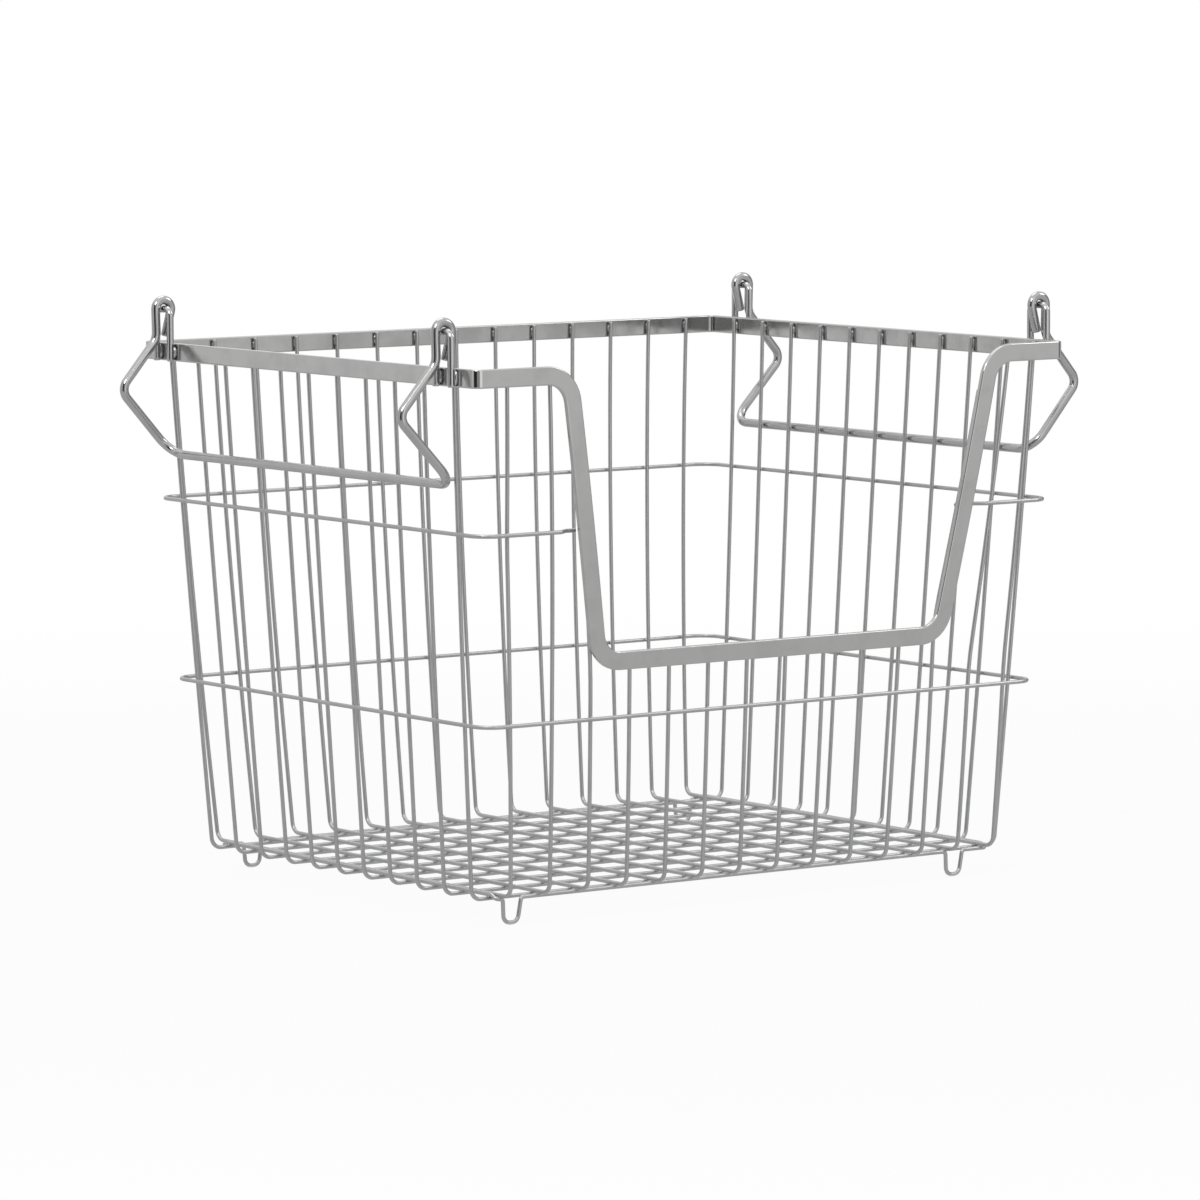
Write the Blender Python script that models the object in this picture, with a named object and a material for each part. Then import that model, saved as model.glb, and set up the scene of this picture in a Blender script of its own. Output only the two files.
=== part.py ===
"""A chrome-plated wire storage basket: a flat-bar rim that dips into a low opening at the
front, a grid of U-shaped wires, two rings round the walls, a base ring bent into four
feet, and two bail handles hooked into staples on the rim.

Metres, +Z up. The origin is on the ground under the middle of the basket, +X runs along
its longer sides to the right and the low opening faces -Y.
"""

import math

import bpy
import numpy as np

# Rim: a flat bar on edge, bent to a rounded rectangle
RIM_LENGTH = 0.400
RIM_DEPTH = 0.3254
RIM_TOP = 0.2987
BAR_HEIGHT = 0.010
BAR_THICKNESS = 0.003
BAR_CHAMFER = 0.0004
RIM_CORNER_RADIUS = 0.0040

# Scoop: the low opening at the front, along the middle of the bar, which leans to the right
SCOOP_DROP = 0.1592
SCOOP_BOTTOM_MARGIN = 0.0839
SCOOP_SIDE_SLOPE = 0.178
SCOOP_TOP_RADIUS = 0.0165
SCOOP_BOTTOM_RADIUS = 0.016
SCOOP_SIDE_STEPS = 4
SCOOP_LEAN = 0.005

# Wires and the gap that stands for each weld
WIRE_RADIUS = 0.0012
STAPLE_RADIUS = 0.0020
HANDLE_RADIUS = 0.0025
SEAT_GAP = 0.0003
WIRE_SIDES = 8
HANDLE_SIDES = 10
END_RADIUS_SHARE = 0.6
END_LENGTH_SHARE = 0.5

# Walls: how far they lean inward down to the floor, and how late they start to
FLOOR_DROP = 0.2820
END_WALL_LEAN = 0.0162
LONG_WALL_LEAN = 0.0153
END_WALL_POWER = 1.15
LONG_WALL_POWER = 1.7
FLOOR_BEND_RADIUS = 0.006
WIRE_TOP_SETBACK = 0.001

# Wire grid: its margins to the walls give a pitch of one inch at the floor
FRONT_REAR_WIRES = 14
LEFT_RIGHT_WIRES = 11
FRONT_REAR_FLOOR_MARGIN = 0.0142
LEFT_RIGHT_FLOOR_MARGIN = 0.0159

# Tops of the outermost wires of each wall, from the wall's end: they were set by eye, so all differ
REAR_LEFT_TOP_MARGIN = 0.0128
REAR_RIGHT_TOP_MARGIN = 0.0185
LEFT_FRONT_TOP_MARGIN = 0.0219
LEFT_REAR_TOP_MARGIN = 0.0180
RIGHT_FRONT_TOP_MARGIN = 0.0173
RIGHT_REAR_TOP_MARGIN = 0.0226

# The low wires under the scoop, as if they reached the rim's top
LOW_LEFT_TOP_MARGIN = 0.0141
LOW_RIGHT_TOP_MARGIN = 0.0211

# Front legs beside the scoop: each meets the rim, and bends once on its way to the floor
OUTER_LEFT_TOP_MARGIN = 0.0186
OUTER_LEFT_BEND_MARGIN = 0.0198
OUTER_LEFT_BEND_DROP = 0.0937
OUTER_RIGHT_TOP_MARGIN = 0.0163
OUTER_RIGHT_BEND_MARGIN = 0.0297
OUTER_RIGHT_BEND_DROP = 0.1752
SHOULDER_LEFT_TOP_SETBACK = 0.0110
SHOULDER_LEFT_BEND_OUT = 0.0275
SHOULDER_LEFT_BEND_DROP = 0.1787
SHOULDER_RIGHT_TOP_SETBACK = 0.0149
SHOULDER_RIGHT_BEND_OUT = 0.0246
SHOULDER_RIGHT_BEND_DROP = 0.1769
LEANING_WIRE_TOP_DROP = 0.025
LEANING_LEFT_TOP_INSET = 0.0035
LEANING_LEFT_BEND_OUT = 0.0029
LEANING_LEFT_BEND_DROP = 0.1637
LEANING_RIGHT_TOP_INSET = 0.0025
LEANING_RIGHT_BEND_OUT = -0.0016
LEANING_RIGHT_BEND_DROP = 0.1517

# Rings round the walls
UPPER_RING_DROP = 0.0881
LOWER_RING_BELOW_SCOOP = 0.0306
RING_CORNER_RADIUS = 0.012
RING_HOOK_CLEARANCE = 0.0045
RING_HOOK_SLANT = 0.0065
RING_HOOK_LENGTH = 0.0060
RING_HOOK_RADIUS = 0.002

# Base ring and its feet: each foot stands its own distance from the ring's corner, and the
# bottoms of the front two lean to the left
BASE_LONG_SIDE_INSET = 0.0094
BASE_STEP_LENGTH = 0.0046
BASE_STEP_RADIUS = 0.0024
BASE_CORNER_RADIUS = 0.0020
REAR_RIGHT_FOOT_SETBACK = 0.0125
REAR_LEFT_FOOT_SETBACK = 0.0195
FRONT_LEFT_FOOT_SETBACK = 0.0102
FRONT_RIGHT_FOOT_SETBACK = 0.0230
FRONT_FOOT_LEAN = -0.0010
FOOT_BOTTOM_WIDTH = 0.0090
FOOT_TOP_WIDTH = 0.0120
FOOT_BOTTOM_RADIUS = 0.0042
FOOT_TOP_RADIUS = 0.0020

# Staples that carry the handles, welded on the rim's outer face
STAPLE_INSET = 0.0260
STAPLE_LEG_SPACING = 0.014
STAPLE_BEND_RADIUS = 0.004
HINGE_RISE = 0.0189

# Handles: hook at each end, arms out to a knee, then down to a bar that rests on the wall
HOOK_CLEARANCE = 0.0005
HOOK_NECK_DROP = 0.0165
HOOK_NECK_OUT = 0.0046
HOOK_END_OUT = -0.0012
HOOK_END_DROP = 0.0152
NECK_RADIUS = 0.010
KNEE_OUT = 0.0287
KNEE_INSET = 0.0005
KNEE_DROP = 0.0439
KNEE_RADIUS = 0.007
GRIP_DROP = 0.0809
GRIP_OUTSET = 0.0013
GRIP_CORNER_RADIUS = 0.012

# Finishes: colour, roughness
BAR_FINISH = ((0.60, 0.60, 0.59), 0.16)
WIRE_FINISH = ((0.56, 0.56, 0.56), 0.20)
HANDLE_FINISH = ((0.62, 0.62, 0.62), 0.14)

# Fineness of the bends
ARC_STEP = math.radians(22.5)
RING_ARC_STEP = math.radians(15)
HOOK_ARC_STEP = math.radians(18)
SMOOTH_ANGLE = math.radians(50)

UP = np.array((0.0, 0.0, 1.0))
ALONG = np.array((1.0, 0.0, 0.0))
ACROSS = np.array((0.0, 1.0, 0.0))

# A wire's faceted section reaches this far past its round radius at its corners
WIRE_REACH = WIRE_RADIUS / math.cos(math.pi / WIRE_SIDES)
HANDLE_REACH = HANDLE_RADIUS / math.cos(math.pi / HANDLE_SIDES)

# Wire centres lie this far inside the rim's outer face at the top
WALL_INSET = BAR_THICKNESS + SEAT_GAP + WIRE_RADIUS
TOP_HALF_LENGTH = RIM_LENGTH / 2 - WALL_INSET
TOP_HALF_DEPTH = RIM_DEPTH / 2 - WALL_INSET
FLOOR_HALF_LENGTH = TOP_HALF_LENGTH - END_WALL_LEAN
FLOOR_HALF_DEPTH = TOP_HALF_DEPTH - LONG_WALL_LEAN
WIRE_TO_BAR = WIRE_RADIUS + SEAT_GAP + BAR_THICKNESS / 2
WIRE_TO_WIRE = 2 * WIRE_RADIUS + SEAT_GAP

# Heights of the two layers of wire at the floor, of the bar's middle and of the rings
UPPER_FLOOR_Z = RIM_TOP - FLOOR_DROP
LOWER_FLOOR_Z = UPPER_FLOOR_Z - WIRE_TO_WIRE
FOOT_Z = WIRE_RADIUS
BAR_MIDDLE_Z = RIM_TOP - BAR_HEIGHT / 2
SCOOP_Z = RIM_TOP - SCOOP_DROP
WIRE_TOP_Z = RIM_TOP - WIRE_TOP_SETBACK
UPPER_RING_Z = RIM_TOP - UPPER_RING_DROP
LOWER_RING_Z = SCOOP_Z - LOWER_RING_BELOW_SCOOP

# The scoop and the wires beside it
SCOOP_BOTTOM_HALF = RIM_LENGTH / 2 - SCOOP_BOTTOM_MARGIN
LEANING_WIRE_TOP_Z = RIM_TOP - LEANING_WIRE_TOP_DROP
LOW_WIRE_TOP_Z = SCOOP_Z + BAR_HEIGHT / 2 - WIRE_TOP_SETBACK

# The outermost floor wires, and the base ring just outside them
FRONT_REAR_FLOOR_HALF = FLOOR_HALF_LENGTH - FRONT_REAR_FLOOR_MARGIN
LEFT_RIGHT_FLOOR_HALF = FLOOR_HALF_DEPTH - LEFT_RIGHT_FLOOR_MARGIN
BASE_HALF_LENGTH = FRONT_REAR_FLOOR_HALF + WIRE_TO_WIRE
BASE_HALF_DEPTH = FLOOR_HALF_DEPTH - BASE_LONG_SIDE_INSET

# Staples and hinges
STAPLE_X = RIM_LENGTH / 2 + SEAT_GAP + STAPLE_RADIUS
STAPLE_HALF_SPREAD = RIM_DEPTH / 2 - STAPLE_INSET
HINGE_Z = RIM_TOP + HINGE_RISE
HOOK_RADIUS = STAPLE_RADIUS + HANDLE_RADIUS + HOOK_CLEARANCE


def unit(vectors):
    """The vectors at length one."""
    return vectors / np.linalg.norm(vectors, axis=-1, keepdims=True)


def wall_share(z):
    """How far down the wall a height is, from 0 at the rim's top to 1 at the floor."""
    return max(0.0, (RIM_TOP - z) / FLOOR_DROP)


def end_wall_x(z):
    """Half distance between the left and right walls' wire centres at a height."""
    return TOP_HALF_LENGTH - (TOP_HALF_LENGTH - FLOOR_HALF_LENGTH) * wall_share(z) ** END_WALL_POWER


def long_wall_y(z):
    """Half distance between the front and rear walls' wire centres at a height."""
    return TOP_HALF_DEPTH - (TOP_HALF_DEPTH - FLOOR_HALF_DEPTH) * wall_share(z) ** LONG_WALL_POWER


def rounded_path(corners, radii, closed=False, step=ARC_STEP):
    """The path through the corners, with an arc of the given radius at each (0 leaves it sharp)."""
    corners = [np.array(corner, float) for corner in corners]
    points = []
    for index, (corner, radius) in enumerate(zip(corners, radii)):
        end = not closed and index in (0, len(corners) - 1)
        if end or radius == 0:
            points.append(corner)
            continue
        back = unit(corners[index - 1] - corner)
        ahead = unit(corners[(index + 1) % len(corners)] - corner)
        turn = math.pi - math.acos(float(np.clip(back @ ahead, -1, 1)))
        tangent = radius * math.tan(turn / 2)
        centre = corner + unit(back + ahead) * radius / math.cos(turn / 2)
        start = corner + back * tangent - centre
        side = unit(-back)
        steps = max(1, math.ceil(turn / step))
        for angle in np.linspace(0, turn, steps + 1):
            points.append(centre + start * math.cos(angle) + side * radius * math.sin(angle))
    return np.array(points)


def tube_rings(points, section, reference, closed, carried):
    """Copies of a flat section along a path, cut on the mitre planes at its corners.

    section holds (sideways, upright) offsets; reference is the upright direction. With
    carried, it's carried round the bends, and otherwise it's the same all along.
    """
    following = np.roll(points, -1, axis=0) if closed else points[1:]
    heads = unit(following - (points if closed else points[:-1]))
    before = np.roll(heads, 1, axis=0) if closed else np.vstack((heads[:1], heads))
    after = heads if closed else np.vstack((heads, heads[-1:]))
    planes = unit(before + after)
    uprights = np.empty_like(heads)
    upright = np.array(reference, float)
    for index, head in enumerate(heads):
        if carried and index:
            last = heads[index - 1]
            upright = upright - last * (upright @ planes[index]) / (last @ planes[index])
        uprights[index] = unit(upright - (upright @ head) * head)
        if carried:
            upright = uprights[index]
    sideways = np.cross(heads, uprights)
    offsets = section[:, 0, None] * sideways[:, None] + section[:, 1, None] * uprights[:, None]
    into = np.roll(offsets, 1, axis=0) if closed else np.concatenate((offsets[:1], offsets))
    out = offsets if closed else np.concatenate((offsets, offsets[-1:]))

    def mitred(offset, head):
        reach = np.einsum("ijk,ik->ij", offset, planes) / np.einsum("ij,ij->i", head, planes)[:, None]
        return offset - head[:, None] * reach[..., None]

    return points[:, None] + (mitred(into, before) + mitred(out, after)) / 2


def tube_faces(rings, closed):
    """Quads between neighbouring rings, and a cap on each end of an open tube."""
    count, sides = rings.shape[:2]
    index = np.arange(count * sides).reshape(count, sides)
    near = index if closed else index[:-1]
    far = np.roll(index, -1, axis=0) if closed else index[1:]
    quads = np.stack((near, np.roll(near, -1, axis=1), np.roll(far, -1, axis=1), far), axis=-1)
    faces = quads.reshape(-1, 4).tolist()
    if not closed:
        faces.append(index[0][::-1].tolist())
        faces.append(index[-1].tolist())
    return faces


def add_object(name, rings, closed, finish, origin=(0, 0, 0)):
    """A mesh object made of the rings, with its origin at the given place and its own material."""
    mesh = bpy.data.meshes.new(name)
    points = rings.reshape(-1, 3) - np.array(origin)
    mesh.from_pydata(points.tolist(), [], tube_faces(rings, closed))
    mesh.update()
    mesh.materials.append(plated_metal(name, *finish))
    mesh.shade_smooth()
    mesh.set_sharp_from_angle(angle=SMOOTH_ANGLE)
    made = bpy.data.objects.new(name, mesh)
    made.location = origin
    bpy.context.scene.collection.objects.link(made)
    return made


def plated_metal(name, colour, roughness):
    """Bright chrome plating."""
    material = bpy.data.materials.new(name + "_plating")
    material.use_nodes = True
    surface = material.node_tree.nodes["Principled BSDF"]
    surface.inputs["Base Color"].default_value = (*colour, 1)
    surface.inputs["Metallic"].default_value = 1
    surface.inputs["Roughness"].default_value = roughness
    material.diffuse_color = (*colour, 1)
    return material


def round_section(radius, sides):
    """A regular polygon whose flats lie at the radius, one flat facing down."""
    angles = (np.arange(sides) + 0.5) * 2 * math.pi / sides
    reach = radius / math.cos(math.pi / sides)
    return reach * np.stack((np.sin(angles), np.cos(angles)), axis=-1)


def with_round_ends(rings, points, radius):
    """The rings of an open wire, with a smaller ring at each tip so that the ends look rounded."""
    length = END_LENGTH_SHARE * radius
    tips = []
    for end, inner in ((0, 1), (-1, -2)):
        inward = unit(points[inner] - points[end])
        tips.append(points[end] + (rings[end] - points[end]) * END_RADIUS_SHARE)
        rings[end] = rings[end] + inward * length
    return np.concatenate((tips[:1], rings, tips[1:]))


def wire(name, points, radius, reference, closed=False, carried=False, sides=WIRE_SIDES,
         finish=WIRE_FINISH, origin=(0, 0, 0)):
    """A round wire along a path."""
    rings = tube_rings(points, round_section(radius, sides), reference, closed, carried)
    if not closed:
        rings = with_round_ends(rings, points, radius)
    return add_object(name, rings, closed, finish, origin)


def scoop_side_x(side, z):
    """Where the middle of the scoop's slanted bar stands on a side (-1 or 1) at a height."""
    rise = z - SCOOP_Z
    lean = SCOOP_LEAN * rise / (BAR_MIDDLE_Z - SCOOP_Z)
    return side * (SCOOP_BOTTOM_HALF + rise * SCOOP_SIDE_SLOPE) + lean


def front_bar_path():
    """The bar's middle line along the front, from left to right."""
    corners = [(-RIM_LENGTH / 2, 0, BAR_MIDDLE_Z), (scoop_side_x(-1, BAR_MIDDLE_Z), 0, BAR_MIDDLE_Z),
               (scoop_side_x(-1, SCOOP_Z), 0, SCOOP_Z), (scoop_side_x(1, SCOOP_Z), 0, SCOOP_Z),
               (scoop_side_x(1, BAR_MIDDLE_Z), 0, BAR_MIDDLE_Z), (RIM_LENGTH / 2, 0, BAR_MIDDLE_Z)]
    radii = (0, SCOOP_TOP_RADIUS, SCOOP_BOTTOM_RADIUS, SCOOP_BOTTOM_RADIUS, SCOOP_TOP_RADIUS, 0)
    bends = rounded_path(corners, radii)[1:-1]
    path = []
    for start, end in zip(bends[:-1], bends[1:]):
        path.append(start)
        if abs(end[2] - start[2]) > BAR_HEIGHT:
            shares = np.arange(1, SCOOP_SIDE_STEPS) / SCOOP_SIDE_STEPS
            path.extend(start + (end - start) * share for share in shares)
    path.append(bends[-1])
    return [(x, -long_wall_y(z) - WIRE_TO_BAR, z) for x, y, z in path]


def bar_section():
    """The bar's section with chamfered edges, as (sideways, upright) offsets."""
    thick = BAR_THICKNESS / 2
    high = BAR_HEIGHT / 2
    quarter = np.array(((thick - BAR_CHAMFER, high), (thick, high - BAR_CHAMFER)))
    upper = np.vstack((quarter, quarter[::-1] * (1, -1)))
    return np.vstack((upper, -upper))


def bar_rings(points):
    """The bar's section along its path: the wall's outward direction is its thickness."""
    heads = unit(np.roll(points, -1, axis=0) - points)
    planes = unit(heads + np.roll(heads, 1, axis=0))
    outward = np.array([wall_outward(point) for point in points])
    outward = unit(outward - np.sum(outward * planes, axis=1)[:, None] * planes)
    upright = np.cross(outward, planes)
    stretch = 1 / np.sum(heads * planes, axis=1)[:, None]
    level = np.abs(heads[:, 2:]) + np.abs(np.roll(heads, 1, axis=0)[:, 2:]) == 0
    outward = outward * np.where(level, stretch, 1)
    upright = upright * np.where(level, 1, stretch)
    section = bar_section()
    return (points[:, None] + section[:, 0, None] * outward[:, None]
            + section[:, 1, None] * upright[:, None])


def wall_outward(point):
    """The direction straight out of the wall at a point of the bar."""
    x, y, z = point
    half_length = RIM_LENGTH / 2 - BAR_THICKNESS / 2 - RIM_CORNER_RADIUS
    half_depth = RIM_DEPTH / 2 - BAR_THICKNESS / 2 - RIM_CORNER_RADIUS
    if abs(x) > half_length or abs(y) > half_depth and z >= BAR_MIDDLE_Z:
        beside_x = np.sign(x) * max(0.0, abs(x) - half_length)
        beside_y = np.sign(y) * max(0.0, abs(y) - half_depth)
        return unit(np.array((beside_x, beside_y, 0.0)))
    slope = (long_wall_y(z + WIRE_RADIUS) - long_wall_y(z - WIRE_RADIUS)) / (2 * WIRE_RADIUS)
    return unit(np.array((0.0, -1.0, -slope)))


def make_rim():
    """The flat bar: round the corners and down through the scoop."""
    half_length = (RIM_LENGTH - BAR_THICKNESS) / 2
    half_depth = (RIM_DEPTH - BAR_THICKNESS) / 2
    corners = [(half_length, -half_depth, BAR_MIDDLE_Z), (half_length, half_depth, BAR_MIDDLE_Z),
               (-half_length, half_depth, BAR_MIDDLE_Z), (-half_length, -half_depth, BAR_MIDDLE_Z)]
    bends = rounded_path(corners, [RIM_CORNER_RADIUS] * len(corners), closed=True)
    points = np.vstack((bends, front_bar_path()))
    rings = bar_rings(points)
    return add_object("rim", rings, True, BAR_FINISH)


def wall_heights(top, bottom, *bends):
    """Heights at which a wall wire's path has a point, from the top down to the floor bend."""
    levels = {top, UPPER_RING_Z, LOWER_RING_Z, bottom, *bends}
    return sorted((level for level in levels if level <= top), reverse=True)


def u_wire_path(first, second):
    """A U down one wall, across the floor and up the other, from each wall's places from its top down."""
    radii = [0] * (len(first) - 1) + [FLOOR_BEND_RADIUS] * 2 + [0] * (len(second) - 1)
    return rounded_path(first + second[::-1], radii)


def fan(share, tops, floor_half, z):
    """Where a wire of a wall stands along it at a height, from the outermost wires' places.

    share is 0 for the wall's first wire and 1 for its last one. tops are those two at the
    rim's top, and at the floor they stand floor_half to either side of the middle.
    """
    top = tops[0] + (tops[1] - tops[0]) * share
    floor = floor_half * (share - (1 - share))
    return top + (floor - top) * wall_share(z)


def front_rear_fan(index, z, left_margin=REAR_LEFT_TOP_MARGIN, right_margin=REAR_RIGHT_TOP_MARGIN):
    """Where a front-rear wire stands along its wall at a height: along the rear one unless said."""
    tops = (left_margin - TOP_HALF_LENGTH, TOP_HALF_LENGTH - right_margin)
    return fan(index / (FRONT_REAR_WIRES - 1), tops, FRONT_REAR_FLOOR_HALF, z)


def left_right_fan(side, index, z):
    """Where a left-right wire stands along the wall on a side (-1 or 1) at a height."""
    front_margin = LEFT_FRONT_TOP_MARGIN if side < 0 else RIGHT_FRONT_TOP_MARGIN
    rear_margin = LEFT_REAR_TOP_MARGIN if side < 0 else RIGHT_REAR_TOP_MARGIN
    tops = (front_margin - TOP_HALF_DEPTH, TOP_HALF_DEPTH - rear_margin)
    return fan(index / (LEFT_RIGHT_WIRES - 1), tops, LEFT_RIGHT_FLOOR_HALF, z)


def legs_beside_scoop():
    """The front legs beside the scoop, in two lists from the outside in: (x, z) of the top and the bend."""
    left = [((OUTER_LEFT_TOP_MARGIN - TOP_HALF_LENGTH, WIRE_TOP_Z),
             (OUTER_LEFT_BEND_MARGIN - TOP_HALF_LENGTH, RIM_TOP - OUTER_LEFT_BEND_DROP)),
            ((scoop_side_x(-1, BAR_MIDDLE_Z) - SHOULDER_LEFT_TOP_SETBACK, WIRE_TOP_Z),
             (-SCOOP_BOTTOM_HALF - SHOULDER_LEFT_BEND_OUT, RIM_TOP - SHOULDER_LEFT_BEND_DROP)),
            ((scoop_side_x(-1, LEANING_WIRE_TOP_Z) + LEANING_LEFT_TOP_INSET, LEANING_WIRE_TOP_Z),
             (-SCOOP_BOTTOM_HALF - LEANING_LEFT_BEND_OUT, RIM_TOP - LEANING_LEFT_BEND_DROP))]
    right = [((TOP_HALF_LENGTH - OUTER_RIGHT_TOP_MARGIN, WIRE_TOP_Z),
              (TOP_HALF_LENGTH - OUTER_RIGHT_BEND_MARGIN, RIM_TOP - OUTER_RIGHT_BEND_DROP)),
             ((scoop_side_x(1, BAR_MIDDLE_Z) + SHOULDER_RIGHT_TOP_SETBACK, WIRE_TOP_Z),
              (SCOOP_BOTTOM_HALF + SHOULDER_RIGHT_BEND_OUT, RIM_TOP - SHOULDER_RIGHT_BEND_DROP)),
             ((scoop_side_x(1, LEANING_WIRE_TOP_Z) - LEANING_RIGHT_TOP_INSET, LEANING_WIRE_TOP_Z),
              (SCOOP_BOTTOM_HALF + LEANING_RIGHT_BEND_OUT, RIM_TOP - LEANING_RIGHT_BEND_DROP))]
    return left, right


def leg_beside_scoop(index):
    """The top and the bend of a front leg beside the scoop, or None for a low wire under it."""
    left, right = legs_beside_scoop()
    from_right = FRONT_REAR_WIRES - 1 - index
    if index < len(left):
        return left[index]
    return right[from_right] if from_right < len(right) else None


def front_wire_x(index, z):
    """Where a front-rear wire's front leg stands at a height: straight to its bend, then to the floor."""
    leg = leg_beside_scoop(index)
    if leg is None:
        return front_rear_fan(index, z, LOW_LEFT_TOP_MARGIN, LOW_RIGHT_TOP_MARGIN)
    (top_x, top_z), (bend_x, bend_z) = leg
    if z > bend_z:
        return bend_x + (top_x - bend_x) * (z - bend_z) / (top_z - bend_z)
    floor_x = front_rear_fan(index, UPPER_FLOOR_Z)
    return floor_x + (bend_x - floor_x) * (z - UPPER_FLOOR_Z) / (bend_z - UPPER_FLOOR_Z)


def front_wire_heights(index):
    """Heights of a front leg's points."""
    leg = leg_beside_scoop(index)
    if leg is None:
        return wall_heights(LOW_WIRE_TOP_Z, UPPER_FLOOR_Z)
    (_, top_z), (_, bend_z) = leg
    return wall_heights(top_z, UPPER_FLOOR_Z, bend_z)


def make_front_rear_wires():
    """The wires that run down the front wall, along the floor and up the rear wall."""
    for index in range(FRONT_REAR_WIRES):
        front = [(front_wire_x(index, z), -long_wall_y(z), z) for z in front_wire_heights(index)]
        rear_heights = wall_heights(WIRE_TOP_Z, UPPER_FLOOR_Z)
        rear = [(front_rear_fan(index, z), long_wall_y(z), z) for z in rear_heights]
        wire(f"front_rear_wire_{index + 1:02d}", u_wire_path(front, rear), WIRE_RADIUS, ALONG)


def make_left_right_wires():
    """The wires that run down the left wall, along the floor and up the right wall."""
    for index in range(LEFT_RIGHT_WIRES):
        left, right = [[(side * end_wall_x(z), left_right_fan(side, index, z), z)
                        for z in wall_heights(WIRE_TOP_Z, LOWER_FLOOR_Z)] for side in (-1, 1)]
        wire(f"left_right_wire_{index + 1:02d}", u_wire_path(left, right), WIRE_RADIUS, ACROSS)


def ring_corners(z):
    """The four corners of a ring that lies outside the wall wires at a height, front right first."""
    half_length = end_wall_x(z) + WIRE_TO_WIRE
    half_depth = long_wall_y(z) + WIRE_TO_WIRE
    return [(half_length, -half_depth, z), (half_length, half_depth, z),
            (-half_length, half_depth, z), (-half_length, -half_depth, z)]


def make_lower_ring():
    """The closed ring round the walls, below the scoop."""
    path = rounded_path(ring_corners(LOWER_RING_Z), [RING_CORNER_RADIUS] * 4, True, RING_ARC_STEP)
    wire("lower_ring", path, WIRE_RADIUS, UP, closed=True)


def ring_hook(side):
    """The upper ring's free end on a side: it slants in beside the scoop's bar and ends behind a wire."""
    outside = long_wall_y(UPPER_RING_Z) + WIRE_TO_WIRE
    inside = long_wall_y(UPPER_RING_Z) - WIRE_TO_WIRE
    inner_x = scoop_side_x(side, UPPER_RING_Z) + side * (BAR_HEIGHT / 2 + RING_HOOK_CLEARANCE)
    places = [(inner_x - side * RING_HOOK_LENGTH, -inside), (inner_x, -inside),
              (inner_x + side * RING_HOOK_SLANT, -outside)]
    return [(x, y, UPPER_RING_Z) for x, y in places]


def make_upper_ring():
    """The ring round three walls, open at the scoop."""
    corners = ring_hook(1) + ring_corners(UPPER_RING_Z) + ring_hook(-1)[::-1]
    hook_radii = [0, RING_HOOK_RADIUS, RING_HOOK_RADIUS]
    radii = hook_radii + [RING_CORNER_RADIUS] * 4 + hook_radii[::-1]
    path = rounded_path(corners, radii, step=RING_ARC_STEP)
    wire("upper_ring", path, WIRE_RADIUS, UP)


def base_corner(side_x, side_y, foot_setback, lean=0):
    """The base ring's corner and the foot beside it, from the short side to the long side.

    The short side lies on the left-right wires and steps down at its end, because the
    long side lies under the front-rear wires.
    """
    y = BASE_HALF_DEPTH
    foot_x = BASE_HALF_LENGTH - foot_setback
    bottom_x = foot_x + side_x * lean
    places = [(BASE_HALF_LENGTH, y - BASE_STEP_LENGTH, UPPER_FLOOR_Z),
              (BASE_HALF_LENGTH, y, LOWER_FLOOR_Z),
              (foot_x + FOOT_TOP_WIDTH / 2, y, LOWER_FLOOR_Z),
              (bottom_x + FOOT_BOTTOM_WIDTH / 2, y, FOOT_Z),
              (bottom_x - FOOT_BOTTOM_WIDTH / 2, y, FOOT_Z),
              (foot_x - FOOT_TOP_WIDTH / 2, y, LOWER_FLOOR_Z)]
    return [(side_x * x, side_y * y, z) for x, y, z in places]


def make_base_ring():
    """The ring under the floor, bent down into a foot beside each corner."""
    right_rear = base_corner(1, 1, REAR_RIGHT_FOOT_SETBACK)
    left_rear = base_corner(-1, 1, REAR_LEFT_FOOT_SETBACK)
    left_front = base_corner(-1, -1, FRONT_LEFT_FOOT_SETBACK, FRONT_FOOT_LEAN)
    right_front = base_corner(1, -1, FRONT_RIGHT_FOOT_SETBACK, FRONT_FOOT_LEAN)
    corners = right_rear + left_rear[::-1] + left_front + right_front[::-1]
    radii = [BASE_STEP_RADIUS, BASE_CORNER_RADIUS, FOOT_TOP_RADIUS]
    radii += [FOOT_BOTTOM_RADIUS, FOOT_BOTTOM_RADIUS, FOOT_TOP_RADIUS]
    radii = (radii + radii[::-1]) * 2
    wire("base_ring", rounded_path(corners, radii, closed=True), WIRE_RADIUS, UP, closed=True)


def make_staple(name, side_x, side_y):
    """An upside-down U on the rim's outer face: its top is the pin that a handle turns on."""
    middle = side_y * STAPLE_HALF_SPREAD
    near = middle - STAPLE_LEG_SPACING / 2
    far = middle + STAPLE_LEG_SPACING / 2
    x = side_x * STAPLE_X
    foot = RIM_TOP - BAR_HEIGHT
    corners = [(x, near, foot), (x, near, HINGE_Z), (x, far, HINGE_Z), (x, far, foot)]
    path = rounded_path(corners, [0, STAPLE_BEND_RADIUS, STAPLE_BEND_RADIUS, 0])
    wire(name, path, STAPLE_RADIUS, ALONG)


def tangent_angle(out, rise, side):
    """Where a straight line from a point touches the hook's circle round the hinge, as an angle."""
    reach = math.hypot(out, rise)
    return math.atan2(rise, out) + side * math.acos(HOOK_RADIUS / reach)


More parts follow.
